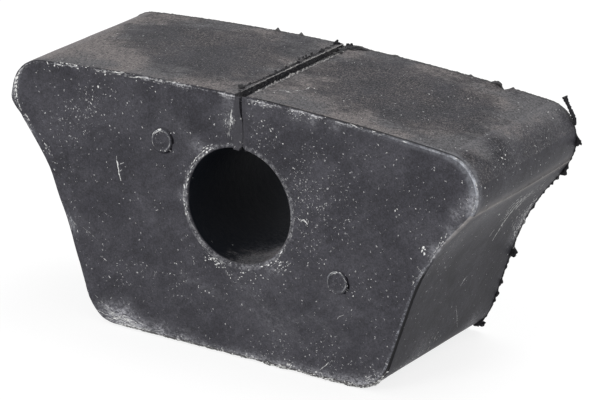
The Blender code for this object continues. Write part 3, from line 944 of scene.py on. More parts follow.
PUSHES: tuple[Row, ...] = (
    (57, 21.6, 48, 6.5, 14, -0.75, 0), (56, 21.6, 43.5, 3, 10, -0.4, 0),
    (-44.5, -21.6, 26.5, 6, 8, -0.9, 0), (-40.8, -21.6, 16, 5, 8, -0.3, 0),
    (-50, -21.6, 36, 5, 8, -0.35, 0), (-56.9, -21.6, 45.8, 1.7, 3, -0.6, 0),
    (-55, -21.6, 43.6, 1.1, 3, 0.4, 0), (38.8, 21.6, 56.1, 0.85, 1.5, 0, -1.15),
    (36.9, 21.6, 56.6, 0.8, 1.2, 0, 0.25), (-32.5, -21.6, 2.2, 2.6, 6, -0.45, -0.3),
)


def push(mesh: Mesh) -> None:
    """Swells and dents a mesh softly about places of the moulding.

    A place is x, y and z, its radius, its reach along Y, and the shift in X and Z.

    Args:
        mesh: The mesh, which is changed.
    """
    place = read(mesh, "co") / MM
    moved = place.copy()
    for x, y, z, radius, reach, aside, upward in PUSHES:
        across, behind, above = place[:, 0] - x, place[:, 1] - y, place[:, 2] - z
        share = np.exp(-((across**2 + above**2) / radius**2 + (behind / reach) ** 2))
        moved[:, 0] += aside * share
        moved[:, 2] += upward * share
    mesh.vertices.foreach_set("co", (moved * MM).astype(np.float32).ravel())
    mesh.update()


@dataclass
class MouldedBody:
    """The drafted body with its bore, its slot and its rounded front edges."""

    sizes: MouldSizes
    around: int = 510
    seed: float = 4.0

    def section(self) -> list[Row]:
        """The section's coded points: share, distance behind the front, offset."""
        s = self.sizes
        mouth, edge, length = s.mouth_radius, s.edge_radius, s.length
        rows: list[Row] = []
        for i in range(36):
            rows.append((0.0, length - (length - mouth) * i / 36, 0.0))
        for i in range(6):
            a = math.pi / 2 * i / 6
            rows.append((0.0, mouth * (1 - math.sin(a)), mouth * (1 - math.cos(a))))
        for i in range(54):
            t = 0.5 - 0.5 * math.cos(math.pi * i / 54)
            t = 0.55 * t + 0.45 * i / 54
            rows.append((t, 0.0, mouth * (1 - t) - edge * t))
        for i in range(7):
            a = math.pi / 2 * i / 7
            rows.append((1.0, edge * (1 - math.cos(a)), edge * (math.sin(a) - 1)))
        for i in range(56):
            rows.append((1.0, edge + (length - edge) * i / 56, 0.0))
        for i in range(9):
            rows.append((1.0 - i / 8, length, 0.0))
        return rows

    def build(self, material: Material) -> Thing:
        """Sweeps the body, adds its relief and closes the slot's two walls.

        Args:
            material: The moulded rubber.

        Returns:
            The body.
        """
        s = self.sizes
        rows = self.section()
        path = s.outline()
        fold = s.crease
        columns, run, folds = columns_for(path, self.around, (fold, Vector((-fold.x, fold.y))))
        helpers = (guide("outline", path), guide("bore_path", s.bore_path()),
                   coded_points("section", rows), coded_points("columns", columns))
        values = {
            "Outline": helpers[0], "Inner": helpers[1], "Section": helpers[2], "Columns": helpers[3],
            "Around": len(columns), "Rows": len(rows), "Length": s.length, "Front": s.front,
            "Rear scale": s.rear_scale, "Outline length": run, "Right crease": folds[0],
            "Left crease": folds[1], "Material": material,
        }
        shape = {
            "Swell": 0.30, "Ripple": 0.05, "Edge nick": 0.13, "Crest": 0.10,
            "Rear": s.rear - 0.1, "Seed": self.seed,
        }
        trees = ((sweep_tree("body_sweep", False), values), (relief_tree(), shape))
        body = grow("moulded_body", trees, helpers)
        self._close(body.data)
        push(body.data)
        return body

    @staticmethod
    def _close(mesh: Mesh) -> None:
        """Fills the slot's two walls and turns every face outwards."""
        with rework(mesh) as work:
            bmesh.ops.remove_doubles(work, verts=work.verts, dist=2 * WELD)
            border = [e for e in work.edges if e.is_boundary]
            filled = bmesh.ops.holes_fill(work, edges=border, sides=0)["faces"]
            bmesh.ops.triangulate(work, faces=filled)
            bmesh.ops.recalc_face_normals(work, faces=work.faces)
            for face in work.faces:
                face.smooth = True
            for edge in work.edges:
                if len(edge.link_faces) == 2 and edge.calc_face_angle(0.0) > math.radians(50):
                    edge.smooth = False


def placed(row: Row, full: int, front: float) -> Row:
    """Adds the front end's Y to a row that is short of it."""
    return row if len(row) == full else (row[0], front, *row[1:])


def paint(mesh: Mesh, mask: Mask, base: Field, touches: Sequence[Row]) -> None:
    """Paints a value on a mesh's points.

    Args:
        mesh: The mesh.
        mask: Which value it is.
        base: Gives the value before any touch, from places in mm and normals.
        touches: Soft round patches that add to it: x, y, z, radius and strength.
    """
    place = read(mesh, "co") / MM
    value = base(place, read(mesh, "normal"))
    for x, y, z, radius, strength in touches:
        away = ((place - (x, y, z)) ** 2).sum(1) / radius**2
        value = value + strength * np.exp(-away)
    store(mesh, mask.value, np.clip(value, 0.0, 1.0))


@dataclass
class SurfaceState:
    """Where the body is dusty, hazy, scuffed and specked, and where its painted highlight and painted shade
    lie.

    A touch is x, y, z, radius and strength, and one without its y lies on the front end.
    """

    sizes: MouldSizes
    dust_touches: tuple[Row, ...] = (
        (-36, 3, 56.5, 10, -0.55), (-28, 2.7, 57, 11, -0.5), (-18, 0, 57.5, 12, -0.5),
        (-10, -8, 58, 9, -0.42), (-14, 12, 57, 10, -0.35), (-24, -10, 57.3, 6, -0.35), (-40, 12, 56, 7, -0.3),
        (20, 4, 57.4, 13, -0.5), (32, 8, 57, 11, -0.5), (40, 3, 56, 8, -0.5), (34, -9, 57, 7, -0.45),
        (12, 12, 57.5, 8, -0.3), (22, -9, 57.6, 7, -0.35), (43, -7, 56, 6, -0.4), (14, -6, 57.7, 7, -0.3),
        (6, 5, 57.8, 7, -0.25), (52.5, -6.5, 55, 3.5, -0.45), (56, -9, 51.8, 3.5, -0.45),
        (53, -18, 55, 3, -0.4), (12, -19, 58, 5, 0.2), (28, -19.5, 57.4, 5, 0.25), (42, -19, 56.5, 4, 0.2),
        (-34, -19, 57, 8, 0.6), (-41, -17, 56.5, 7, 0.5), (-46, -12, 56, 8, 0.4), (46, 12, 55.5, 6, 0.4),
        (54, 5, 53.5, 6, -0.25), (1, -19, 20.6, 5, 0.6), (7, -19, 23, 5, 1.3), (11, -18, 27, 5, 1.2),
        (10, -12, 25.5, 6, 0.8), (6, -12, 22, 5, 0.5),
    )
    haze_touches: tuple[Row, ...] = (
        (-29.6, 1.4, 1.7, 0.85), (-26.6, 0.7, 2, 1), (-23.4, 0.3, 1.8, 0.85), (-33, 3, 1.8, 0.65),
        (-19, 0.3, 2.6, 0.6), (-13, 0.2, 2.4, 0.35), (-28.5, 3, 2.6, 0.5), (56.5, 47.4, 1.3, 0.4),
        (55.6, 45.2, 1.3, 0.55), (54.6, 46.4, 1.5, 0.15), (52.6, 43.2, 1.4, 0.35), (47.4, 34.2, 1.3, 0.3),
        (51.2, 39.4, 1.3, 0.3), (0.7, 16.5, 3, 0.05), (9.8, 9.8, 4, 0.07), (-20, 44, 3, 0.08),
        (-3.2, 52, 2, 0.16), (-3, 56, 1.6, 0.2), (54, -10, 42, 6, 0.14), (52, 9, 38.5, 5, 0.12),
        (48, -15, 34, 5, 0.1), (37.7, 14, 3.5, 3, 0.5), (44.5, 20, 24, 3, 0.35), (46.5, 20.5, 29, 3, 0.35),
        (38.5, -8, 4.5, 5, 0.25), (36.9, -12, 1.8, 3, 0.3), (5, -12, 21.4, 5, 0.42), (10, -11, 25.5, 5, 0.56),
        (8, -2, 23.5, 7, 0.32), (11.5, 0, 28, 7, 0.26), (2.5, 55.5, 2.5, 0.07), (28, 0.9, 1.6, 0.25),
        (31.5, 1.2, 1.7, 0.4), (34.2, 2, 1.6, 0.4), (36, 3.8, 1.3, 0.3), (5, 8, 15, 0.022),
        (-15, 8, 10, 0.012), (30, 12, 12, 0.016), (57, -8, 50, 5, 0.05), (13.5, 56.6, 1.3, 0.3),
        (17.5, 56.2, 1.5, 0.3), (23, 56.4, 1.5, 0.2), (-10.5, 44.5, 1.8, 0.2), (9, 21.5, 1.8, 0.25),
        (-14, 33, 1.2, 0.25),
    )
    # Where the bluish edge line shows, partly wear and partly painted highlight.
    worn_sheen_touches: tuple[Row, ...] = (
        (57, 48, 3.5, 0.75), (56.4, 52, 3, 0.8), (54, 55, 3.5, 0.7), (50, 56.5, 3.5, 0.55), (45, 57, 4, 0.45),
        (39, 57.3, 4, 0.3), (31, 57.5, 4, 0.12), (55.5, 44.5, 2, 0.3), (-57, 50, 3, 0.14),
        (-56.6, 46.5, 2, 0.12), (-52.5, 39.5, 2.5, 0.2), (-41, 20.5, 2.5, 0.3), (51.8, 39, 2, 0.35),
        (48.6, 35, 2.5, 0.35), (45, 28.5, 2.5, 0.25),
    )
    wear_touches: tuple[Row, ...] = (
        (-23.7, 57.6, 2.6, 0.65), (-15, 57.9, 2.2, 0.55), (-44, 56.4, 3.5, 0.3), (-35, 57, 3, 0.3),
        (-4, 58, 2.5, 0.4), (4.5, 58, 2, 0.5), (9.5, 58, 1.2, 0.3), (14.5, 57.9, 2, 0.6),
        (19, 57.6, 1.6, 0.45), (24.5, 57.6, 1.5, 0.3), (-57, 49, 3, 0.5), (-56, 54, 3, 0.3),
        (-53, 41, 2.5, 0.55), (-41, 21, 3, 0.55), (46.5, 34, 3, 0.5), (44.8, 29.5, 3, 0.35),
        (50, 39, 2.5, 0.35), (53.6, 42.6, 2, 0.5), (20, 0.2, 4, 0.3), (30, 0.5, 4, 0.35), (10, 0.1, 4, 0.2),
        (-27, 0.8, 5, 0.5), (10.2, 42.1, 3, 0.1), (12.8, 36, 4, 0.3), (11, 24, 4, 0.5), (0, 20, 5, 0.3),
        (-9, 22.5, 4, 0.35),
    )
    speck_touches: tuple[Row, ...] = (
        (17, 36, 6, 0.55), (18, 30, 6, 0.45), (14, 44, 6, 0.45), (24, 42, 8, 0.3), (-37, 50, 5, 0.6),
        (-40, 45.5, 5, 0.5), (-43, 41, 4, 0.4), (3, 19, 4, 0.5), (-12, 16, 6, 0.3), (-28, 12, 6, 0.25),
        (35, 2, 4, 0.6), (25, 1.5, 4, 0.5), (42, 43, 4, 0.25), (20, 8, 5, 0.25), (30, 22, 7, 0.1),
        (55, 49, 2.5, 0.2), (52.5, -6, 51, 2.5, 0.5), (4, 52, 5, 0.4), (-50, 55, 3, 0.5), (-3, 51, 3, 0.3),
        (53, -8, 53, 6, 0.3), (53, 5, 50, 8, 0.2), (10, 0.5, 5, 0.4), (46, -15, 30, 5, 0.25),
        (-45, 33, 5, 0.2), (-29, 25, 6, -0.05),
    )
    dark_touches: tuple[Row, ...] = (
        (52.5, -6.5, 55, 2.6, 0.4), (55.5, -9, 52.5, 2.4, 0.4), (53, -18.5, 55, 1.8, 0.45),
        (54.5, -15, 53.5, 2, 0.3), (-22.5, 48.5, 2, 0.25), (-12, 49, 4, 0.12), (12, 47, 5, 0.12),
        (-45, 54.5, 2, 0.25),
    )
    streaks: tuple[Row, ...] = (
        (-20, 0.5, 4, 0.6, 0.9, 0.16), (4, 0.6, 34, 0.8, 1.1, 0.24), (-4.7, 20.1, 16.1, 7.2, 0.9, 0.028),
        (0, 12.3, 18.1, 6.1, 0.9, 0.03), (13.5, 10.9, 18.4, 13.2, 0.9, 0.035),
        (18.4, 13.2, 22.4, 12.3, 0.9, 0.035), (22.4, 10.9, 28.8, 9.7, 0.9, 0.03),
        (-14.1, 15, -3.5, 12.2, 1, 0.05), (-44, 26, -34, 17, 1.6, 0.02), (-24, 30, -17, 21, 1.8, 0.02),
        (16, 24, 30, 14, 1.6, 0.018), (-8, 44, -20, 51, 1.4, 0.03),
    )
    # Where the flank's groove shows, darkened with painted shade.
    groove_touches: tuple[Row, ...] = (
        (45.9, 28, 3, 0.7), (44, 25, 3.5, 0.8), (42.6, 21, 4, 0.9), (41, 16, 4, 0.9), (39.4, 11, 4, 0.9),
        (37.6, 6, 4, 0.9),
    )

    def apply(self, mesh: Mesh) -> None:
        """Paints every mask on the body."""
        s = self.sizes

        def top_dust(place: np.ndarray, normal: np.ndarray) -> np.ndarray:
            """Dust lies on what faces up, outside the slot."""
            return np.clip((normal[:, 2] - 0.35) * 1.6, 0, 1) * 0.72 * (place[:, 2] > 30)

        def front_only(level: float) -> Field:
            """A constant level outside the bore and the slot."""

            def base(place: np.ndarray, normal: np.ndarray) -> np.ndarray:
                away = np.hypot(place[:, 0], place[:, 2] - s.bore_height)
                return np.where((away < s.bore_radius + 0.3) & (place[:, 1] > s.front + 0.6), 0.0, level)

            return base

        def seam(place: np.ndarray, normal: np.ndarray) -> np.ndarray:
            """The dark line of painted shade along the top of the right half's front edge."""
            x, _, z = place.T
            return np.clip((z - 54.0) / 1.5, 0, 1) * np.clip((x - 2.5) / 2.0, 0, 1) * 0.85

        def wiped(place: np.ndarray, normal: np.ndarray) -> np.ndarray:
            """The crown and the flanks are a little blacker than the front end."""
            flank = np.clip(np.abs(normal[:, 0]) * 2 - 0.8, 0, 1) * (place[:, 2] < 44)
            top = np.clip(normal[:, 2], 0, 1) * (place[:, 2] > 50) * (np.abs(place[:, 0]) < 50)
            return 0.36 * top + 0.22 * flank

        def edge_wear(place: np.ndarray, normal: np.ndarray) -> np.ndarray:
            """More wear along the crown's front edge and the base's."""
            x, _, z = place.T
            level = 0.08 + 0.24 * np.clip((z - 54.0) / 2.0, 0, 1) + 0.35 * np.clip((2.0 - z) / 2.0, 0, 1)
            return level * front_only(1.0)(place, normal)

        smears: list[Row] = []
        for x, z, last_x, last_z, radius, strength in self.streaks:
            count = max(2, round(math.hypot(last_x - x, last_z - z) / radius))
            smears += [(x + (last_x - x) * i / count, z + (last_z - z) * i / count, radius, strength)
                       for i in range(count + 1)]
        for mask, base, touches in (
            (Mask.DUST, top_dust, self.dust_touches),
            (Mask.HAZE, front_only(0.0), (*self.haze_touches, *smears)),
            (Mask.WEAR, edge_wear, self.wear_touches),
            (Mask.RIM, front_only(0.0), self.worn_sheen_touches),
            (Mask.SPECKS, front_only(0.078), self.speck_touches),
            (Mask.GROOVE, front_only(0.0), self.groove_touches),
            (Mask.DARK, wiped, self.dark_touches),
        ):
            paint(mesh, mask, base, [placed(row, 5, s.front) for row in touches])
        paint(mesh, Mask.SEAM, seam, ())


def scatter_tree() -> Tree:
    """The tree that scatters flakes over a surface, as densely as its specks value says."""
    inputs = {
        "Geometry": GEOMETRY, "Surface": OBJECT, "Flake": OBJECT, "Per square metre": 100000.0,
        "Smallest": 0.1, "Largest": 0.5, "Seed": 1, "Material": MATERIAL,
    }
    net, given = Net.group("flake_scatter", "Geometry", inputs, ("Geometry", GEOMETRY))
    surface, flake = [
        net.add("GeometryNodeObjectInfo", given[name]).outputs["Geometry"] for name in ("Surface", "Flake")
    ]
    density = net.get("GeometryNodeInputNamedAttribute", data_type="FLOAT", Name="specks")
    spot = net.scale(net.get("GeometryNodeInputPosition"), 1 / MM)
    clump = net.spread(net.noise(spot, 0.4, 3.0, 0.6), 0.42, 0.62, 0.25, 2.0)
    dense = net.times(density, clump, given["Per square metre"])
    scatter = net.add("GeometryNodeDistributePointsOnFaces", distribute_method="RANDOM",
                      Mesh=surface, Density=dense, Seed=given["Seed"]).outputs

    def chance(low: float, high: float, offset: int) -> Socket:
        """A random number for each point."""
        seed = net.plus(given["Seed"], offset)
        return net.live("FunctionNodeRandomValue", (low, high, None, seed), data_type="FLOAT")

    turn = net.get("FunctionNodeRotateRotation", rotation_space="LOCAL", Rotation=scatter["Rotation"],
                   Rotate_By=net.join(0.0, 0.0, chance(0.0, math.tau, 3)))
    more = net.minus(given["Largest"], given["Smallest"])
    size = net.plus(net.times(net.math("POWER", chance(0.0, 1.0, 5), 2.5), more), given["Smallest"])
    narrow = net.times(size, chance(0.25, 0.9, 7))
    flakes = net.get("GeometryNodeInstanceOnPoints", Points=scatter["Points"], Instance=flake, Rotation=turn,
                     Scale=net.join(size, narrow, net.times(narrow, 0.6)))
    shade = net.plus(net.math("POWER", chance(0.0, 1.0, 9), 1.9), 0.1)
    toned = net.get("GeometryNodeStoreNamedAttribute", data_type="FLOAT", domain="INSTANCE",
                    Geometry=flakes, Name="shade", Value=shade)
    real = net.get("GeometryNodeRealizeInstances", Geometry=toned)
    return net.give(net.get("GeometryNodeSetMaterial", Geometry=real, Material=given["Material"]))


@dataclass
class TalcFlakes:
    """Flakes of talc scattered over the body, denser where the photograph shows them."""

    per_square_metre: float = 640000.0
    smallest: float = 0.10
    largest: float = 0.52
    seed: int = 7

    def build(self, body: Thing, material: Material) -> Thing:
        """Scatters the flakes.

        Args:
            body: The body, with its specks value painted.
            material: The talc.

        Returns:
            All the flakes as one mesh.
        """
        rng = random.Random(self.seed)
        rim = [(0.5 * rng.uniform(0.7, 1.15) * math.cos(a), 0.5 * rng.uniform(0.7, 1.15) * math.sin(a), -0.1)
               for a in (math.tau * i / 7 for i in range(7))]
        points = rim + [(0.05, 0.02, 0.22)]
        faces = [(i, (i + 1) % 7, 7) for i in range(7)] + [tuple(range(6, -1, -1))]
        flake = mesh_object("flake", points, faces)
        values = {
            "Surface": body, "Flake": flake, "Per square metre": self.per_square_metre,
            "Smallest": self.smallest, "Largest": self.largest, "Seed": self.seed, "Material": material,
        }
        return grow("talc_flakes", ((scatter_tree(), values),), (flake,))


@dataclass
class SurfaceStrokes:
    """Scratches, arcs of scuffs and painted highlights, fans of fine bits and single specks, each at its own
    place.

    A place without its y lies on the front end. An arc's row holds its radius, the angles
    where it starts and ends, its width and its shade, and stands on a centre that is given
    across, up and out of the front end. A fan's last row holds its count, its length, its
    width, and the length, the width and the shade of one bit.
    """

    front: float
    strokes: tuple[tuple[float, float, tuple[Row, ...]], ...] = (
        (0.34, 0.95, ((-30.8, 38.3), (-30.5, 36.3), (-30, 34.4), (-29.5, 32.7))),
        (0.18, 0.7, ((-30.4, 36.2), (-29.5, 36.9), (-28.8, 37.2))), (0.16, 0.7, ((-30, 34.8),
                                                                                 (-29.3, 35.6))),
        (0.25, 0.6, ((-41.9, 40.2), (-41.1, 39.9))),
        (0.2, 0.3, ((-39.6, 20.5), (-37.2, 19.4), (-35.2, 18.1))),
        (0.25, 0.5, ((-34.6, 14.8), (-32.8, 14))),
        (0.28, 0.85, ((14.6, 34.4), (15.3, 33.7), (16.3, 34.1), (17.1, 33.2), (17.3, 34.2))),
        (0.16, 0.6, ((24.8, 13.7), (25.5, 14.7), (26.7, 15.3))),
        (0.25, 0.7, ((21.2, 1.7), (22.3, 2.8), (23.4, 4))),
        (0.4, 0.8, ((51.5, 8.6, 37.7), (49.6, 8.4, 35.2), (47.6, 8.8, 32.2), (45.8, 8.7, 29.2),
                    (44.6, 8.1, 26.6))),
        (0.3, 0.75, ((52, 6.9, 38), (50, 6.6, 35.4), (48, 7.3, 32.2))),
        (0.24, 0.7, ((52.6, 10.5, 38.8), (50.6, 10.2, 36.4), (48.9, 10.2, 33.8))),
        (0.24, 0.6, ((53.2, 4.6, 39.6), (51.4, 4.4, 37.2), (50, 4, 35.6))),
        (0.3, 0.6, ((41.6, 0.4, 18.2), (42, 1.4, 19.3), (42.2, 2.2, 20))),
        (0.2, 0.55, ((39.9, 1.8, 12.9), (38.9, 4.2, 9.6), (37.7, 6.6, 6))),
        (0.2, 0.9, ((-2, 55.4), (-2.15, 53.6), (-2.35, 52), (-2.5, 49.8))), (0.14, 0.6, ((-1.2, 53.4),
                                                                                             (-1.2, 51.6))),
        (0.16, 0.5, ((4.18, -15.14, 58), (4.22, -14.02, 58), (4.91, -13.55, 58), (5.63, -13.14, 57.9),
                     (6.64, -13.56, 57.9), (7.81, -13.85, 57.9))),
        (0.16, 0.5, ((6.94, -12.48, 57.9), (7.74, -10.99, 57.9), (8.73, -11, 57.9))),
        (0.24, 0.7, ((8.36, -9.5, 57.8), (8.51, -8.68, 57.8), (8.3, -7.58, 57.8))),
        (0.26, 0.95, ((-2.1, 0.6, 58.2), (-2.3, 2.4, 58.2), (-2.1, 3.2, 58.2), (-1.6, 3.2, 58.2))),
        (0.16, 0.8, ((1.5, -18.4, 58.2), (1.3, -17.3, 58.2), (1.65, -16.4, 58.1), (1.5, -15.6, 58.1))),
    )
    # The bore's and the right ear's arcs are pale scuffs; the left ear's are a painted highlight on its
    # rounded edge; the pin marks' are mostly a painted highlight on the upper left of each rim, with a few
    # pale bits elsewhere.
    arcs: tuple[tuple[Row, tuple[Row, ...]], ...] = (
        ((0, 33.5, 0), (
            (13.3, 117, 134, 0.3, 1), (13.7, 124, 149, 0.36, 1), (14.1, 118, 131, 0.2, 0.8),
            (13.2, 136, 171, 0.24, 0.8),
            (13.6, 171, 196, 0.34, 1), (13.2, 172, 198, 0.2, 0.8), (13.2, 198, 262, 0.14, 0.55),
            (13.7, 222, 258, 0.2, 0.7),
            (14.3, 232, 252, 0.16, 0.5), (13.7, -64, -36, 0.3, 0.95), (14.3, -54, -42, 0.22, 0.7),
            (13.2, -40, 28, 0.16, 0.6), (13.8, -20, 12, 0.14, 0.5), (13.3, 32, 62, 0.1, 0.35),
        )),
        ((-49.8, 47.8, 0), ((7.3, 146, 188, 0.5, 1), (7, 160, 214, 0.44, 1),
                              (7.45, 150, 200, 0.3, 0.9), (7.6, 124, 152, 0.2, 0.6),
                              (6.5, 168, 196, 0.16, 0.5), (7.75, 176, 200, 0.16, 0.5))),
        ((49.8, 47.8, 0), ((7.7, 20, 70, 0.16, 0.55), (7.7, -24, 24, 0.2, 0.7), (7.2, -28, 4, 0.26, 0.6),
                             (6.6, -30, -6, 0.2, 0.4))),
        ((-19.2, 44.2, 0.44), ((2.5, 92, 156, 0.34, 1), (2.05, 80, 140, 0.3, 1),
                               (2.35, 152, 226, 0.2, 0.7), (2.3, 20, 82, 0.16, 0.6),
                               (2.1, 262, 330, 0.18, 0.8))),
        ((24.9, 22.1, 0.44), ((2.5, 52, 118, 0.24, 0.9), (2.1, 96, 140, 0.2, 0.8), (2.4, 4, 50, 0.16, 0.6),
                              (2, -60, 10, 0.24, 0.9), (2.35, 150, 210, 0.12, 0.5))),
    )
    fans: tuple[tuple[Row, Row, Row], ...] = (
        ((-28.5, 1.5), (1, 0, -0.14), (64, 4.8, 1.1, 2, 0.17, 0.9)),
        ((-33.5, 3.6), (1, 0, -0.5), (14, 2.4, 0.9, 1.3, 0.14, 0.55)),
        ((-22, 0.6), (1, 0, 0), (26, 5, 0.6, 1.6, 0.15, 0.7)),
        ((-26, -22.3, 0.3), (1, 0, 0), (30, 7, 0.4, 1, 0.2, 0.7)),
        ((-10, -22.3, 0.3), (1, 0, 0), (70, 9, 0.7, 0.5, 0.22, 0.65)),
        ((7, -22.3, 0.3), (1, 0, 0), (70, 8, 0.8, 0.45, 0.26, 0.8)),
        ((23, -22.3, 0.4), (1, 0, 0), (120, 13, 0.8, 0.45, 0.28, 0.8)),
        ((12.5, -22.3, 0.5), (1, 0, 0.3), (26, 3, 0.8, 0.5, 0.34, 1)),
        ((33.5, -22, 1), (1, 0, 0.3), (60, 4, 1.6, 0.4, 0.3, 0.85)),
        ((33, 2), (1, 0, 0.7), (30, 3.5, 1.6, 0.5, 0.2, 0.8)),
        ((35.6, -22.3, 2.4), (0.8, 0, 0.8), (60, 3.6, 0.9, 0.4, 0.3, 0.8)),
        ((-2.6, 51.5), (0.02, 0, 1), (22, 4, 0.8, 1.5, 0.14, 0.5)),
        ((-2.2, 52.6), (0.02, 0, 1), (14, 2.4, 0.45, 0.9, 0.16, 0.9)),
        ((49.5, 8.5, 35), (0.5, 0, 0.85), (44, 5, 2.8, 1.8, 0.16, 0.6)),
        ((51.5, 12.5, 37.5), (0.5, 0, 0.85), (24, 3.5, 4, 1, 0.24, 0.6)),
        ((45, 20, 26.5), (0.42, 0, 0.91), (90, 5, 1.3, 0.45, 0.28, 0.95)),
        ((47.3, 19.6, 31), (0.55, 0, 0.83), (40, 3, 1.2, 0.45, 0.26, 0.85)),
        ((46.2, 17.2, 29), (0.5, 0, 0.86), (60, 6.5, 4.5, 0.5, 0.24, 0.7)),
        ((11, 22.6), (0.75, 0, 0.65), (34, 2.4, 1.4, 0.4, 0.32, 1)),
        ((2.5, 18.7), (1, 0, 0.12), (18, 7.5, 1.8, 0.42, 0.34, 1)),
        ((-5.5, 20.2), (1, 0, -0.3), (36, 3.4, 0.8, 0.5, 0.3, 0.9)),
        ((37.6, -3, 5.5), (0.25, 0.4, 1), (12, 3.5, 2.2, 0.9, 0.2, 0.5)),
        ((36.6, -14, 1.6), (0.1, 1, 0.1), (18, 8, 0.5, 0.7, 0.16, 0.5)),
        ((36.9, -12, 2.8), (0.1, 1, 0.1), (22, 4, 1.4, 0.5, 0.22, 0.7)),
        ((-42.5, 56.4), (1, 0, 0.1), (22, 4.5, 0.7, 0.7, 0.2, 0.95)),
        ((-34, 56.6), (1, 0, 0.1), (16, 4, 0.5, 0.9, 0.15, 0.8)),
        ((-22, 57.2), (1, 0, 0.1), (34, 8, 0.4, 1.2, 0.14, 0.85)),
        ((-30, 57), (1, 0, 0.1), (20, 3.5, 0.3, 1.3, 0.13, 0.85)),
        ((-20, 56.6), (1, 0, 0.1), (16, 6, 1, 0.6, 0.16, 0.6)),
        ((5, 57.3), (1, 0, 0), (22, 5, 0.9, 0.5, 0.2, 0.9)),
        ((15, 56.8), (1, 0, 0), (26, 6, 1.3, 0.5, 0.2, 0.7)),
        ((30, 57), (1, 0, -0.06), (18, 8, 0.5, 1, 0.15, 0.8)),
        ((48.8, 35.6), (0.6, 0, 0.8), (26, 3.6, 0.5, 0.6, 0.22, 0.85)),
        ((43.6, 27), (0.4, 0, 0.9), (8, 3, 0.5, 0.8, 0.15, 0.7)),
        ((-53.8, 42), (0.55, 0, -0.85), (10, 1.6, 0.25, 0.8, 0.2, 1)),
        ((-49, 36.8), (0.55, 0, -0.85), (16, 4, 0.6, 0.6, 0.18, 0.8)),
        ((-41, 20.5), (0.2, 0, -1), (12, 2.5, 0.5, 0.6, 0.16, 0.7)),
    )
    specks: tuple[Row, ...] = (
        (-14.8, 20.5, 0.7), (-15.6, 17.4, 0.6), (-16.7, 14.7, 0.6), (-13.9, 16, 0.5), (-12.6, 14, 0.6),
        (-9.5, 13.3, 0.6), (-7.8, 12.8, 0.7), (-6.8, 12.6, 0.6), (-24.1, 15.1, 0.5), (-23.5, 12.4, 0.6),
        (-28.6, 9.7, 0.5), (-32, 10.4, 0.5), (-5.7, 9.2, 0.6), (-2.6, 6.5, 0.5), (30.9, 6.6, 0.6),
        (33.4, 5.2, 0.6), (21.3, 8, 0.5), (32.9, 24.6, 0.5), (28.7, 20, 0.75), (21.5, 25.5, 0.6),
        (42.3, 31.3, 0.6), (38.1, 40.9, 0.7), (39.1, 40.2, 0.6), (38.6, 41.4, 0.5), (41.3, 45.9, 0.5),
        (42.9, 42.4, 0.6), (49.7, 46, 0.6), (48.5, 44.2, 0.6), (6.4, -13.4, 57.9, 1), (4.5, -15.7, 58, 0.7),
        (8.3, -8.4, 57.8, 0.8), (18.4, -10.5, 57.6, 0.8), (9.6, -8, 57.9, 0.7), (7.4, -11.3, 57.9, 0.6),
        (55.9, -9.3, 52.6, 0.9), (55.9, -10.9, 52.6, 0.7), (55.7, -7.7, 52.8, 0.9), (56.5, -9.9, 51.6, 0.8),
        (56.2, -8.6, 52.2, 0.7), (56.5, -13.1, 51.9, 0.5), (54.7, -8.1, 53.8, 0.5), (57.6, -18.9, 49.3, 0.7),
        (57.7, -18.2, 47.4, 0.6), (52.3, 16, 54.7, 0.8), (52.6, 18.8, 54.4, 0.7), (53.8, 15.5, 53.8, 0.6),
        (29.4, 5.7, 56.9, 0.6), (36.9, 9, 56.4, 0.6), (33.9, 8.4, 56.6, 0.5), (33.3, 7, 56.6, 0.5),
        (34.1, -4.6, 56.8, 0.5), (37.3, -7.9, 56.6, 0.5), (31.7, -9.5, 57, 0.5), (29.8, -1.5, 57, 0.5),
        (33.8, 0, 56.7, 0.5), (50.3, 0.4, 36.1, 1.1), (45.1, 34.35, 1.3), (44.9, 33.6, 1.3), (45.35, 33, 1),
        (45.5, 34, 0.9), (-21.2, 54.6, 0.7), (-27.5, 43, 0.8), (-32.5, 44.7, 0.6), (-37.4, 48.7, 0.8),
        (-36.1, 47.1, 0.6), (-49.2, 44.1, 0.6), (-45.8, 48.8, 0.5), (-50.8, 48.6, 0.6), (-51.6, 52.7, 0.7),
        (-35.7, 52.8, 0.9), (-33.9, 55.9, 0.8), (-29.3, 48.2, 0.6), (-38.7, 49.2, 0.5), (-38.1, 47.3, 0.5),
        (-41.2, 44.9, 0.5), (-42.7, 43.2, 0.5), (-28.2, 50.7, 0.5), (-48.7, 55.4, 0.9), (-46.9, 55.3, 0.8),
        (-44.9, 55.6, 0.7), (-26, 56.1, 0.7), (-44.7, 41.2, 0.4), (-31.2, 44.5, 0.4), (9, 50.9, 0.8),
        (7.6, 51.9, 0.6), (10.6, 49.7, 0.7), (5.4, 53.6, 0.7), (4.2, 50.6, 0.6), (-7.9, 20.4, 0.6),
        (-5, 19.6, 0.7), (1.6, 19, 0.8), (3.6, 17.8, 0.6), (-1.5, 17.2, 0.7),
    )
    seed: int = 11

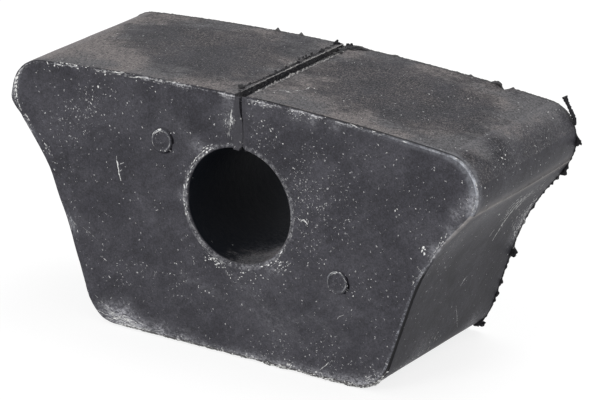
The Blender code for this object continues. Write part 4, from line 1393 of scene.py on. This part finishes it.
    def build(self, bodies: Sequence[Thing], material: Material) -> Thing:
        """Lays every stroke and speck on the nearest surface.

        Args:
            bodies: The pieces that they lie on.
            material: The talc.

        Returns:
            All of them as one mesh.
        """
        marks = Marks(bodies, self.seed)
        rng = marks.rng
        for width, shade, path in self.strokes:
            marks.stroke(width, shade, [placed(p, 3, self.front) for p in path])
        for (x, z, lift), rows in self.arcs:
            for radius, start, end, width, shade in rows:
                angle = math.radians(start)
                while angle < math.radians(end):
                    turn = rng.uniform(0.25, 1.3) / radius
                    reach = radius + rng.gauss(0.0, 0.035 + 0.005 * radius)
                    bend = arc(Vector((x, z)), reach, angle, angle + turn, 3)
                    path = [(p.x, self.front - lift, p.y) for p in bend]
                    marks.stroke(width * rng.uniform(0.5, 1.3), shade * rng.uniform(0.5, 1.15), path)
                    angle += turn + rng.uniform(-0.2, 0.35) / radius
        for place, way, (count, reach, across, length, width, shade) in self.fans:
            along, centre = Vector(way).normalized(), Vector(placed(place, 3, self.front))
            out = marks.settle(centre)[1] if centre.y > self.front else Vector((0, -1, 0))
            aside = out.cross(along).normalized()
            for _ in range(int(count)):
                middle = centre + along * rng.gauss(0, reach / 2) + aside * rng.gauss(0, across / 2)
                half = (along + aside * rng.uniform(-0.15, 0.15)) * length * rng.uniform(0.2, 0.6)
                ends = (middle - half, middle + half)
                marks.stroke(width * rng.uniform(0.6, 1.3), shade * rng.uniform(0.5, 1.2), ends)
        for row in self.specks:
            *place, size = placed(row, 4, self.front)
            marks.speck(place, 0.93 * size)
        thing = mesh_object("placed_marks", marks.points, marks.faces)
        store(thing.data, "shade", marks.shades)
        thing.data.materials.append(material)
        return thing


class Marks:
    """The points, faces and shades of marks that lie on a surface."""

    step: float = 0.16

    def __init__(self, bodies: Sequence[Thing], seed: int) -> None:
        """Reads the surface and starts without a mark."""
        self.rng = random.Random(seed)
        self.points: list[Vector] = []
        self.faces: list[tuple[int, ...]] = []
        self.shades: list[float] = []
        spots: list[Vector] = []
        polygons: list[tuple[int, ...]] = []
        for body in bodies:
            polygons += [tuple(v + len(spots) for v in p.vertices) for p in body.data.polygons]
            spots += [v.co.copy() for v in body.data.vertices]
        self.tree = BVHTree.FromPolygons(spots, polygons)

    def settle(self, place: Sequence[float]) -> tuple[Vector, Vector]:
        """The nearest place on the surface in mm, and the way out from it."""
        spot, normal, _, _ = self.tree.find_nearest(Vector(place) * MM)
        return spot / MM, normal

    def stroke(self, width: float, shade: float, path: Sequence[Row]) -> None:
        """Adds one broken ribbon with a raised middle."""
        stops: list[Vector] = []
        for first, last in zip(path, path[1:]):
            a, b = Vector(first), Vector(last)
            count = max(1, round((b - a).length / self.step))
            stops += [a.lerp(b, i / count) for i in range(count)]
        stops.append(Vector(path[-1]))
        start = self.rng.uniform(0.0, 90.0)
        end = len(stops) - 1
        for i, stop in enumerate(stops):
            spot, normal = self.settle(stop)
            along = (stops[min(i + 1, end)] - stops[max(i - 1, 0)]).normalized()
            side = along.cross(normal).normalized()
            fade = min(1.0, 0.2 + 3.0 * min(i, end - i) / max(1, end))
            swell, tone, drift = [
                noise.noise(Vector((start + i * pace, lane, 0.0)))
                for pace, lane in ((0.3, 0.0), (0.25, 9.0), (0.15, 19.0))
            ]
            half = width / 2 * fade * max(0.2, 1.0 + 1.2 * swell)
            middle = spot + side * (drift * width * 0.7)
            row = len(self.points)
            self.points += [middle + side * (half * away) + normal * lift
                            for away, lift in ((-1, -0.02), (0, 0.04), (1, -0.02))]
            self.shades += [max(0.05, shade * (0.85 + 0.9 * tone))] * 3
            if i and swell > -0.38:
                self.faces += [(row + j - 3, row + j - 2, row + j + 1, row + j) for j in range(2)]

    def speck(self, place: Sequence[float], size: float) -> None:
        """Adds one ragged flake."""
        rng = self.rng
        spot, normal = self.settle(place)
        side = normal.orthogonal().normalized()
        other = normal.cross(side)
        row = len(self.points)
        stretch, turn = rng.uniform(0.35, 0.9), rng.uniform(0.0, math.tau)
        for i in range(8):
            a = math.tau * i / 8
            reach = size / 2 * rng.uniform(0.35, 1.25)
            x, y = reach * math.cos(a), reach * math.sin(a) * stretch
            self.points.append(spot + side * (x * math.cos(turn) - y * math.sin(turn))
                               + other * (x * math.sin(turn) + y * math.cos(turn)) - normal * 0.03)
            self.faces.append((row + i, row + (i + 1) % 8, row + 8))
        self.points.append(spot + normal * 0.08)
        self.shades += [rng.uniform(0.65, 1.0)] * 9


def bands(rings: int, around: int) -> list[tuple[int, ...]]:
    """The faces between closed rings of points."""
    return [
        (start + j - around, start + k - around, start + k, start + j)
        for start in range(around, rings * around, around)
        for j, k in ((j, (j + 1) % around) for j in range(around))
    ]


def tube(name: str, stations: Sequence[Station], sides: int, rough: float, rng: random.Random) -> Thing:
    """A ragged closed tube through stations.

    Args:
        name: The object's name.
        stations: Centre, side, up, half width and half height of each ring, in mm.
        sides: Points in each ring.
        rough: How far a point strays, as a share of the ring.
        rng: Random numbers.

    Returns:
        The tube.
    """
    points: list[Vector] = []
    for centre, side, up, wide, high in stations:
        for j in range(sides):
            a = math.tau * j / sides
            stray = 1.0 + rng.uniform(-rough, rough)
            points.append(centre + side * wide * math.cos(a) * stray + up * high * math.sin(a) * stray)
    caps = [tuple(range(sides)), tuple(range(len(points) - sides, len(points)))]
    return mesh_object(name, points, bands(len(stations), sides) + caps)


def join(name: str, things: Sequence[Thing], shades: Sequence[float], material: Material) -> Thing:
    """Joins objects into one mesh with one material.

    Args:
        name: The joined object's name.
        things: The objects, which are removed.
        shades: How pale each object is, from 0 to 1.
        material: The joined object's material.

    Returns:
        The joined object.
    """
    work = bmesh.new()
    tone = work.verts.layers.float.new("shade")
    for thing, shade in zip(things, shades):
        start = len(work.verts)
        work.from_mesh(thing.data)
        work.verts.ensure_lookup_table()
        for vert in work.verts[start:]:
            vert[tone] = shade
        bpy.data.objects.remove(thing, do_unlink=True)
    mesh = bpy.data.meshes.new(name)
    work.to_mesh(mesh)
    work.free()
    mesh.materials.append(material)
    return link(name, mesh)


def crumb(place: Sequence[float], size: Sequence[float], rng: random.Random) -> Thing:
    """A small torn lump of rubber.

    Args:
        place: Its middle, in mm.
        size: Its half sizes, in mm.
        rng: Random numbers.

    Returns:
        The lump.
    """
    mesh = bpy.data.meshes.new("crumb")
    work = bmesh.new()
    bmesh.ops.create_icosphere(work, subdivisions=2, radius=1.0)
    shift = Vector((rng.uniform(0, 50), rng.uniform(0, 50), 0))
    for vert in work.verts:
        stray = 1.0 + 0.75 * noise.noise(vert.co * 1.6 + shift)
        spot = Vector(place) + Vector([c * s * stray for c, s in zip(vert.co, size)])
        vert.co = spot * MM
    work.to_mesh(mesh)
    work.free()
    return link("crumb", mesh)


@dataclass
class SplitWeb:
    """The thin web across the slot's front end, torn from the crown to the bore."""

    sizes: MouldSizes
    sink: float = 0.012
    thickness: float = 0.9
    top: float = 57.5
    steps: int = 40
    seed: int = 3
    tear: tuple[Row, ...] = (
        (0.00, 0.62, 1.5), (0.05, 0.62, 1.1), (0.09, 0.66, 0), (0.3, 0.78, 0.13), (0.55, 0.7, 0.28),
        (0.64, 0.4, 0.4), (0.82, 0.08, 0.5), (1.00, -0.1, 0.62),
    )

    def build(self, material: Material) -> Thing:
        """Makes the two flaps of the web.

        Args:
            material: The torn rubber.

        Returns:
            Both flaps as one mesh.
        """
        rng = random.Random(self.seed)
        s = self.sizes
        low = s.bore_height + s.bore_radius - 0.25
        front = s.front + self.sink
        back = front + self.thickness
        flaps = []
        for side, wall in ((-1, s.slot_left - 0.1), (1, s.slot_right + 0.1)):
            points: list[Vector] = []
            for i in range(self.steps + 1):
                share = i / self.steps
                middle, width = self._at(share)
                edge = middle + side * (width / 2 + rng.uniform(-0.04, 0.05))
                z = low + (self.top - low) * share + (rng.uniform(-0.15, 0.15) if i == self.steps else 0.0)
                lean = 0.10 * math.sin(share * 7.0 + side)
                corners = ((wall, front), (edge, front + lean), (edge, back), (wall, back))
                points += [Vector((x, y, z)) for x, y in corners]
            last = 4 * self.steps
            caps = [(0, 1, 2, 3), tuple(range(last, last + 4))]
            flaps.append(mesh_object("flap", points, bands(self.steps + 1, 4) + caps))
        return join("slot_web", flaps, (0.0, 0.0), material)

    def _at(self, share: float) -> tuple[float, float]:
        """Place and width of the tear at a share of the web's height."""
        for first, last in zip(self.tear, self.tear[1:]):
            if share <= last[0]:
                t = (share - first[0]) / (last[0] - first[0])
                return first[1] + (last[1] - first[1]) * t, first[2] + (last[2] - first[2]) * t
        return self.tear[-1][1], self.tear[-1][2]


@dataclass
class SlotLips:
    """The ragged lips that the blade raised along both top edges of the slot."""

    sizes: MouldSizes
    steps: int = 170
    seed: int = 5
    # The first ridge is pale, a painted highlight where the slot's left edge catches the light; the second is
    # near black, a torn line and a painted shadow under the lip's outer edge; the last is a pale scuffed line
    # along the right edge.
    ridges: tuple[tuple[float, float, tuple[Row, ...]], ...] = (
        (0.5, 1.7, ((-19.2, -1.4, 0.04, 0.05), (-12, -1.44, 0.06, 0.07), (-6, -1.5, 0.08, 0.1),
                    (4, -1.52, 0.08, 0.1), (21.4, -1.5, 0.06, 0.1))),
        (0.75, 0, ((-17.8, -2.5, 0.18, 0.14), (-14.5, -2.6, 0.2, 0.16), (-12, -2.3, 0.18, 0.15),
                     (-9.5, -2.2, 0.2, 0.16), (-4, -2.1, 0.24, 0.2), (-1, -2.2, 0.28, 0.22),
                     (6, -2.3, 0.3, 0.18), (10, -2.4, 0.3, 0.18), (14, -2.5, 0.42, 0.26),
                     (21.4, -2.8, 0.55, 0.4))),
        (0.25, 0.02, ((-18.5, 1.15, 0.2, 0.08), (-16, 1.1, 0.22, 0.09), (-4, 1.05, 0.25, 0.09),
                      (8, 0.95, 0.3, 0.09), (21.3, 0.85, 0.4, 0.1))),
        (0.9, 1.3, ((-18.2, 1.42, 0.09, 0.18), (-8, 1.38, 0.11, 0.2), (4, 1.45, 0.11, 0.18),
                    (13, 1.38, 0.09, 0.16), (17, 1.38, 0.06, 0.1))),
    )
    teeth: tuple[Row, ...] = (
        (-2.5, 0, 58.1, 0.2, 0.3, 0.2, 0.02), (-2.6, 4.3, 58.1, 0.2, 0.3, 0.22, 0.02),
        (-2.7, 5.6, 58.1, 0.2, 0.2, 0.24, 0.02), (-2.7, 7.2, 58.1, 0.2, 0.3, 0.24, 0),
        (-2.8, 8.6, 58, 0.2, 0.2, 0.26, 0), (-2.9, 11, 57.9, 0.2, 0.4, 0.2, 0),
        (-2.5, -4, 58.2, 0.15, 0.4, 0.15, 0), (-3, 21.2, 57.5, 0.45, 0.3, 0.6, 0),
        (-2.75, 21.3, 57.95, 0.16, 0.2, 0.35, 0), (-0.6, 20.9, 56.5, 1.2, 0.6, 0.95, 0),
        (0.6, 20.9, 57.15, 1.3, 0.6, 0.65, 0), (2.2, 20.9, 57.3, 1.4, 0.6, 0.5, 0.03),
        (4.2, 21, 57.25, 1.6, 0.5, 0.36, 0.05), (0, 21.1, 57.6, 0.45, 0.25, 0.42, 0),
        (0.85, 21.1, 57.75, 0.4, 0.25, 0.4, 0), (1.6, 20, 57.5, 1.5, 0.9, 0.42, 0),
        (3.6, 20.5, 57.4, 1.6, 0.6, 0.32, 0), (0.5, 18.4, 57.5, 0.7, 1.2, 0.22, 0),
        (1.4, 15.6, 57.8, 0.55, 0.5, 0.16, 0.02), (0.9, 14.3, 57.8, 0.4, 0.35, 0.2, 0.15),
        (-2.2, 1.4, 58.4, 0.12, 0.6, 0.22, 0.9), (-1.9, 2.9, 58.4, 0.12, 0.5, 0.2, 0.85),
        (-2.5, -0.2, 58.3, 0.2, 0.3, 0.22, 0.5), (2, 19.6, 57.5, 0.9, 0.9, 0.16, 0.08),
        (-0.3, 18.6, 57.3, 0.5, 0.5, 0.25, 0.12), (-2.5, -17.3, 58.3, 0.75, 0.6, 0.55, 0.02),
        (-2.6, -17.2, 58.75, 0.35, 0.3, 0.2, 0.12), (-1.9, -18.9, 58, 0.4, 0.5, 0.2, 0),
    )

    def build(self, material: Material) -> Thing:
        """Makes both lips and the torn teeth on them.

        Args:
            material: The torn rubber.

        Returns:
            All of them as one mesh.
        """
        rng = random.Random(self.seed)
        made = [(self._ridge(rows, rough, rng), shade) for rough, shade, rows in self.ridges]
        made += [(crumb(row[:3], row[3:6], rng), row[6]) for row in self.teeth]
        return join("slot_lips", *zip(*made), material)

    def _ridge(self, rows: Sequence[Row], rough: float, rng: random.Random) -> Thing:
        """One ridge: place along, place across, half width and height at each row."""
        s = self.sizes
        stations = []
        places, *columns = zip(*rows)
        for i in range(self.steps + 1):
            y = places[0] + (places[-1] - places[0]) * i / self.steps
            x, wide, high = [float(np.interp(y, places, column)) for column in columns]
            wide *= max(0.1, 1 + 2.2 * rough * noise.noise(Vector((y * 1.1, x, 3.0))))
            high *= max(0.1, 1 + 2.6 * rough * noise.noise(Vector((y * 1.7, x, 13.0))))
            taper = 1.0 + (s.rear_scale - 1.0) * (y - s.front) / s.length
            centre = Vector((x + rng.uniform(-0.2, 0.2) * rough, y, s.crown(x) * taper))
            stations.append((centre, Vector((1, 0, 0)), Vector((0, 0, 1)), wide, high))
        return tube("ridge", stations, 9, 0.5 * rough, rng)


@dataclass
class PinMarks:
    """The two round pin marks on the front end, with their raised rims."""

    sizes: MouldSizes
    around: int = 64
    profile: tuple[Row, ...] = (
        (0, 0.16), (0.6, 0.16), (1.2, 0.17), (1.75, 0.16), (1.95, 0.24), (2.12, 0.42), (2.3, 0.46),
        (2.42, 0.44), (2.52, 0.36), (2.58, 0.1), (2.62, 0.02), (2.8, 0.02), (3.05, 0.015), (3.3, -0.2),
    )
    places: tuple[Row, ...] = ((-19.2, 10.7), (24.9, -11.4))
    seed: int = 8

    def build(self, material: Material) -> Thing:
        """Turns both marks.

        Args:
            material: The moulded rubber.

        Returns:
            Both marks as one mesh.
        """
        rng = random.Random(self.seed)
        s = self.sizes
        things = []
        for x, z in self.places:
            points: list[Vector] = []
            shift = rng.uniform(0, 40)
            for radius, high in self.profile:
                for j in range(self.around):
                    a = math.tau * j / self.around
                    stray = 0.06 * noise.noise(Vector((math.cos(a) * 2 + shift, math.sin(a) * 2, radius)))
                    r = radius * (1 + 0.5 * stray)
                    up = s.bore_height + z + r * math.sin(a)
                    points.append(Vector((x + r * math.cos(a), s.front - high - stray, up)))
            things.append(mesh_object("mark", points, bands(len(self.profile), self.around)))
        marks = join("pin_marks", things, (0.0, 0.0), material)
        marks.data.shade_smooth()
        self._paint(marks.data)
        return marks

    def _paint(self, mesh: Mesh) -> None:
        """Paints a painted highlight on the rims, mostly on their upper left, and a painted shadow outside
        their right side.
        """
        s = self.sizes
        levels: dict[Mask, list[float]] = {mask: [] for mask in Mask}
        for vert in mesh.vertices:
            x, z = min(
                ((vert.co.x / MM - px, vert.co.z / MM - s.bore_height - pz) for px, pz in self.places),
                key=lambda away: math.hypot(*away),
            )
            radius, angle = math.hypot(x, z), math.atan2(z, x)
            upper_left = max(0.0, math.cos(angle - math.radians(125)))
            right = max(0.0, math.cos(angle + math.radians(15)))
            on_rim = math.exp(-(((radius - 2.38) / 0.13) ** 2))
            inside = math.exp(-(((radius - 1.95) / 0.12) ** 2))
            outside = math.exp(-(((radius - 2.72) / 0.2) ** 2))
            # Painted highlight: the rim's upper left and the inside of its right side.
            levels[Mask.RIM].append(min(1.0, on_rim * (0.04 + 0.45 * upper_left) + inside * 0.3 * right))
            # Painted shadow outside the rim's right side.
            levels[Mask.DARK].append(min(0.92, outside * (0.15 + 0.9 * right)))
            levels[Mask.SPECKS].append(0.6 if radius < 2.6 else 0.2)
            levels[Mask.INSET].append(0.22 if vert.co.x > 0 else 0.82)
            levels[Mask.CREASE].append(30.0)
            for mask in (Mask.DUST, Mask.WEAR, Mask.GROOVE, Mask.SEAM, Mask.HAZE):
                levels[mask].append(0.0)
        for mask, values in levels.items():
            store(mesh, mask.value, values)


@dataclass
class RearFlash:
    """The thin ragged fin left round the rear edge, with its larger tags."""

    sizes: MouldSizes
    raggedness: float = 0.55
    around: int = 1500
    section: tuple[Row, ...] = (
        (0, 0, -0.3), (0.5, 0, 0), (1, 0.1, 0), (1, 0.25, 0), (0.6, 0.38, 0), (0, 0.5, -0.3),
    )
    tags: tuple[Row, ...] = (
        (-18, 23.6, 0.7, 0.6), (-12, 23.8, 0.65, 0.6), (11.8, 23.8, 0.25, 1), (30.3, 23.2, 0.4, 0.6),
        (40.6, 22.2, 0.9, 0.3), (3, 24, 0.3, 2.3), (38.9, 22.3, -2, 0.6), (57, 14.2, 0.8, 1),
        (54.9, 7.7, 1, 0.8), (54, 6.6, 1.5, 1), (46.9, -3, 0.6, 0.8), (42.2, -15.3, 0.7, 0.7),
        (36.4, -31, 0.6, 0.8), (53.5, 6.1, 0.9, 0.6), (52.2, 4.9, 0.5, 0.6), (51.1, 3.3, 0.8, 0.5),
        (41.9, -13.4, 1.5, 0.8), (42, -14.4, 0.9, 0.8), (39.4, -21.2, 0.7, 0.6), (38.6, -24.4, 0.5, 1),
        (38.2, -26, 0.5, 0.6), (34.9, -32, 0.9, 1.4),
    )
    seed: int = 21

    def build(self, material: Material) -> Thing:
        """Sweeps the fin along the rear outline.

        Args:
            material: The torn rubber.

        Returns:
            The fin.
        """
        s = self.sizes
        corners = s.outline()
        path = []
        for a, b in zip(corners, corners[1:]):
            count = max(1, round((b - a).length / 0.3))
            path += [a.lerp(b, i / count) for i in range(count)]
        path.append(corners[-1])
        radii = [self._extra(p) for p in path]
        ring = [(share, s.length - ahead, offset) for share, ahead, offset in self.section]
        columns, _, _ = columns_for(path, self.around, ())
        helpers = (guide("rear_outline", path, radii), coded_points("fin_section", ring + ring[:1]),
                   coded_points("fin_columns", columns))
        values = {
            "Outline": helpers[0], "Section": helpers[1], "Columns": helpers[2], "Around": len(columns),
            "Rows": len(ring) + 1, "Length": s.length, "Front": s.front, "Rear scale": s.rear_scale,
            "Raggedness": self.raggedness, "Material": material,
        }
        fin = grow("rear_flash", ((sweep_tree("fin_sweep", True), values),), helpers)
        with rework(fin.data) as work:
            bmesh.ops.recalc_face_normals(work, faces=work.faces)
        push(fin.data)
        store(fin.data, "shade", [self._shade(v.co / MM) for v in fin.data.vertices])
        return fin

    @staticmethod
    def _shade(place: Vector) -> float:
        """How pale the fin is: dusty over the crown, with talc in patches beside the right flank."""
        crown = 0.2 * min(1.0, max(0.0, (place.z - 48.0) / 6.0))
        flank = math.exp(-(((place.z - 26.5) / 4.5) ** 2)) if place.x > 0 else 0.0
        return crown + 0.7 * flank * max(0.0, 0.2 + noise.noise(place * 1.3))

    def _extra(self, place: Vector) -> float:
        """How much further the fin reaches at a place on the outline."""
        s = self.sizes
        if place.y < 1.2:
            return -1.0
        flank = place.x > 30 and place.y < 46
        extra = 0.45 * max(0.0, noise.noise(Vector((place.x * 1.3, place.y * 1.3, 7.0)))) if flank else 0.0
        for x, z, reach, width in self.tags:
            away = (place * s.rear_scale - Vector((x, z + s.bore_height))).length
            extra += reach * math.exp(-2.0 * (away / width) ** 2)
        return extra


@dataclass
class FlashTags:
    """The hook, the sliver and the lumps of flash that stand off the rear edge."""

    sizes: MouldSizes
    sliver: tuple[Row, ...] = (
        (56, 51, 0.25), (55.8, 52.2, 0.48), (55.1, 53.4, 0.54), (54.4, 54.6, 0.46), (53.8, 55.6, 0.48),
        (53.4, 56.3, 0.6), (53.1, 56.8, 0.72),
    )
    hook: tuple[Row, ...] = (
        (35.2, 56.2, 0.2), (36.2, 56.5, 0.34), (37.2, 56.7, 0.36), (37.9, 56.45, 0.28), (38.15, 55.9, 0.16),
    )
    # The curl is near black: the hook's underside and a painted shadow beneath it.
    curl_and_shadow: tuple[Row, ...] = (
        (36.9, 55.6, 0.1), (37, 55.15, 0.26), (37.6, 54.9, 0.3), (38.3, 55, 0.2), (38.7, 55.2, 0.08),
    )
    lumps: tuple[Row, ...] = (
        (56.9, 47.4, 0.8, 0.75), (56.3, 47.2, 0.7, 0.9), (42.3, 19.4, 0.9, 1.1), (39.2, 12.2, 0.45, 0.4),
        (35, 1.6, 1.2, 0.7), (34, 1, 0.8, 0.4),
    )
    base: tuple[Row, ...] = (
        (-30, 0.08), (-24, 0.12), (-10, 0.14), (6, 0.12), (8.5, 0.32), (13, 0.3), (15, 0.14), (18.5, 0.34),
        (24.5, 0.4), (29.5, 0.34), (33, 0.3), (35.5, 0.4), (36.8, 0.3), (37.9, 0.08),
    )
    seed: int = 31

    def build(self, material: Material) -> Thing:
        """Makes every tag.

        Args:
            material: The torn rubber.

        Returns:
            All of them as one mesh.
        """
        rng = random.Random(self.seed)
        rear = self.sizes.rear
        strands = ((self.sliver, 0.35, 0.0), (self.hook, 0.6, 0.16), (self.curl_and_shadow, 0.9, 0.0))
        made = [(self._strand(path, rear - ahead, rng), shade) for path, ahead, shade in strands]
        made.append((self._base_lip(rng), 0.2))
        made += [(crumb((x, rear - 0.4, z), (wide, 0.35, high), rng), 0.0) for x, z, wide, high in self.lumps]
        return join("flash_tags", *zip(*made), material)

    @staticmethod
    def _strand(path: Sequence[Row], depth: float, rng: random.Random) -> Thing:
        """A torn strand along a path of x, z and radius."""
        back = Vector((0, 1, 0))
        centres = [Vector((x, depth, z)) for x, z, _ in path]
        stations = []
        for i in range(6 * (len(path) - 1) + 1):
            k = min(i // 6, len(path) - 2)
            share = i / 6 - k
            radius = path[k][2] + (path[k + 1][2] - path[k][2]) * share
            side = (centres[k + 1] - centres[k]).normalized().cross(back)
            spot = centres[k].lerp(centres[k + 1], share)
            stations.append((spot, side, back, radius * rng.uniform(0.8, 1.2), min(radius, 0.32)))
        return tube("strand", stations, 8, 0.15, rng)

    def _base_lip(self, rng: random.Random) -> Thing:
        """The low ragged lip under the base's front edge."""
        across = np.linspace(self.base[0][0], self.base[-1][0], 260)
        swells = np.interp(across, *zip(*self.base))
        foot = sorted((p.x, p.y) for p in self.sizes.half(0.0) if p.y < 9.0)
        lift = np.interp(across, *zip(*foot))
        slope = np.gradient(lift, across)
        stations = []
        for x, r, z, rise in zip(across.tolist(), swells.tolist(), lift.tolist(), slope.tolist()):
            out = Vector((rise, 0.0, -1.0)).normalized()
            long_wave, short_wave = [noise.noise(Vector(at)) for at in ((x * 0.55, 5, 1), (x * 2.1, 8, 1))]
            scallop = 1 + 0.9 * long_wave + 0.5 * short_wave
            taper = min(1.0, 0.2 + (across[-1] - x) / 1.5, 0.2 + (x - across[0]) / 3)
            stations.append((
                Vector((x, self.sizes.front + 0.04, z)) - out * (0.3 - 0.4 * r), Vector((0, 1, 0)), out,
                max(0.07, r * (1 + 1.6 * noise.noise(Vector((x, 1, 1))))), (0.16 + 0.5 * r) * scallop * taper,
            ))
        return tube("base_lip", stations, 8, 0.2, rng)


@dataclass(frozen=True)
class PhotoCamera:
    """The photograph's viewpoint, fitted to the edges of the object in it."""

    azimuth: float = math.radians(31.60)
    elevation: float = math.radians(20.25)
    roll: float = math.radians(1.49)
    distance: float = 1.100
    pixels: float = 5255.0
    shift_right: float = 0.0119
    shift_up: float = 0.0014
    image_width: int = 590
    sensor: float = 36.0

    def build(self, target: Vector) -> Thing:
        """Makes the camera and gives it to the scene.

        Args:
            target: The place that the distance is measured from, in metres.

        Returns:
            The camera.
        """
        az, el, roll = self.azimuth, self.elevation, self.roll
        back = Vector((math.sin(az) * math.cos(el), -math.cos(az) * math.cos(el), math.sin(el)))
        level = Vector((math.cos(az), math.sin(az), 0.0))
        upright = level.cross(-back)
        right = math.cos(roll) * level + math.sin(roll) * upright
        up = -math.sin(roll) * level + math.cos(roll) * upright
        data = bpy.data.cameras.new("photo_camera")
        data.sensor_width = self.sensor
        data.sensor_fit = "HORIZONTAL"
        data.lens = self.pixels * self.sensor / self.image_width
        data.clip_start, data.clip_end = 0.05, 20.0
        camera = link("photo_camera", data)
        place = target + back * self.distance + right * self.shift_right + up * self.shift_up
        turn = Matrix((right, up, back)).transposed().to_4x4()
        camera.matrix_world = Matrix.Translation(place) @ turn
        bpy.context.scene.camera = camera
        return camera


@dataclass(frozen=True)
class Studio:
    """A pale floor under plain soft light."""

    ambient: float = 0.50
    white: Row = (1.0, 1.0, 1.0, 1.0)
    floor_half: float = 3000.0
    floor_height: float = -0.4
    floor_tone: float = 0.8
    seen_tone: float = 0.28
    seen_glow: float = 0.82
    lamps: tuple[tuple[str, Row, float, float], ...] = (
        ("key", (-0.25, -1.25, 0.55), 0.5, 7.0),
        ("overhead", (0.25, 0.45, 1.35), 0.8, 6.0),
    )

    def build(self) -> None:
        """Makes the world, the lamps and the floor."""
        scene = bpy.context.scene
        scene.view_settings.view_transform = "Standard"
        world = bpy.data.worlds.new("studio")
        net = empty_net(world)
        strength = net.blend(self._seen(net), self.ambient, 1.0, "FLOAT")
        net.add("ShaderNodeOutputWorld", net.get("ShaderNodeBackground", self.white, strength))
        scene.world = world
        for name, place, size, power in self.lamps:
            data = bpy.data.lights.new(name, "AREA")
            data.size = size
            data.energy = power
            lamp = link(name, data)
            lamp.location = place
            lamp.rotation_euler = (Vector(place) - Vector((0, 0, 0.03))).to_track_quat("Z", "Y").to_euler()
        self._floor()

    @staticmethod
    def _seen(net: Net) -> Socket:
        """One for rays from the camera or by way of a mirror or glass."""
        path = net.add("ShaderNodeLightPath").outputs
        return net.most(path["Is Camera Ray"], path["Is Transmission Ray"], path["Is Glossy Ray"])

    def _floor(self) -> Thing:
        """The pale floor, which shows white and keeps the shadow."""
        half, low = self.floor_half, self.floor_height
        corners = [(-half, -half, low), (half, -half, low), (half, half, low), (-half, half, low)]
        floor = mesh_object("studio_floor", corners, [(0, 1, 2, 3)])
        material = bpy.data.materials.new("studio_floor")
        net = empty_net(material)
        plain, thin = [
            net.get("ShaderNodeBsdfDiffuse", (tone, tone, tone, 1.0))
            for tone in (self.floor_tone, self.seen_tone)
        ]
        both = net.get("ShaderNodeAddShader", thin, net.get("ShaderNodeEmission", self.white, self.seen_glow))
        net.add("ShaderNodeOutputMaterial", net.get("ShaderNodeMixShader", self._seen(net), plain, both))
        floor.data.materials.append(material)
        return floor


class Bushing:
    """Builds and dresses every piece of the bushing."""

    def __init__(self, sizes: MouldSizes) -> None:
        """Makes the finishes."""
        self.sizes = sizes
        effects = SurfaceEffects()
        self.rubber = MouldedRubber().build(effects)
        self.torn = TornRubber().build(effects)
        dark, pale = (0.0310, 0.0303, 0.0375, 1.0), (0.0610, 0.0598, 0.0700, 1.0)
        self.web = TornRubber("rubber_web", dark, pale, specks=0.4).build(effects)
        self.talc = Talc().build(effects)

    def build(self) -> list[Thing]:
        """Builds every piece.

        Returns:
            The pieces, which all stand for the one CAD node.
        """
        s = self.sizes
        body = MouldedBody(s).build(self.rubber)
        SurfaceState(s).apply(body.data)
        marks = PinMarks(s).build(self.rubber)
        tags = FlashTags(s).build(self.torn)
        fin = RearFlash(s).build(self.torn)
        pieces = [
            body,
            SplitWeb(s).build(self.web),
            SlotLips(s).build(self.torn),
            marks,
            fin,
            tags,
            TalcFlakes().build(body, self.talc),
            SurfaceStrokes(s.front).build((body, marks, tags, fin), self.talc),
        ]
        for piece in pieces:
            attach(piece, "root")
            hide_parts(NODE)
            log.info("%s: %d faces", piece.name, len(piece.data.polygons))
        return pieces


def main() -> None:
    """Builds the bushing, the camera and the studio."""
    logging.basicConfig(level=logging.INFO, format="%(name)s %(message)s")
    sizes = MouldSizes.from_record(frame["record"])
    Bushing(sizes).build()
    PhotoCamera().build(Vector((0.0, sizes.front, sizes.bore_height)) * MM)
    Studio().build()


if __name__ == "__main__":
    main()
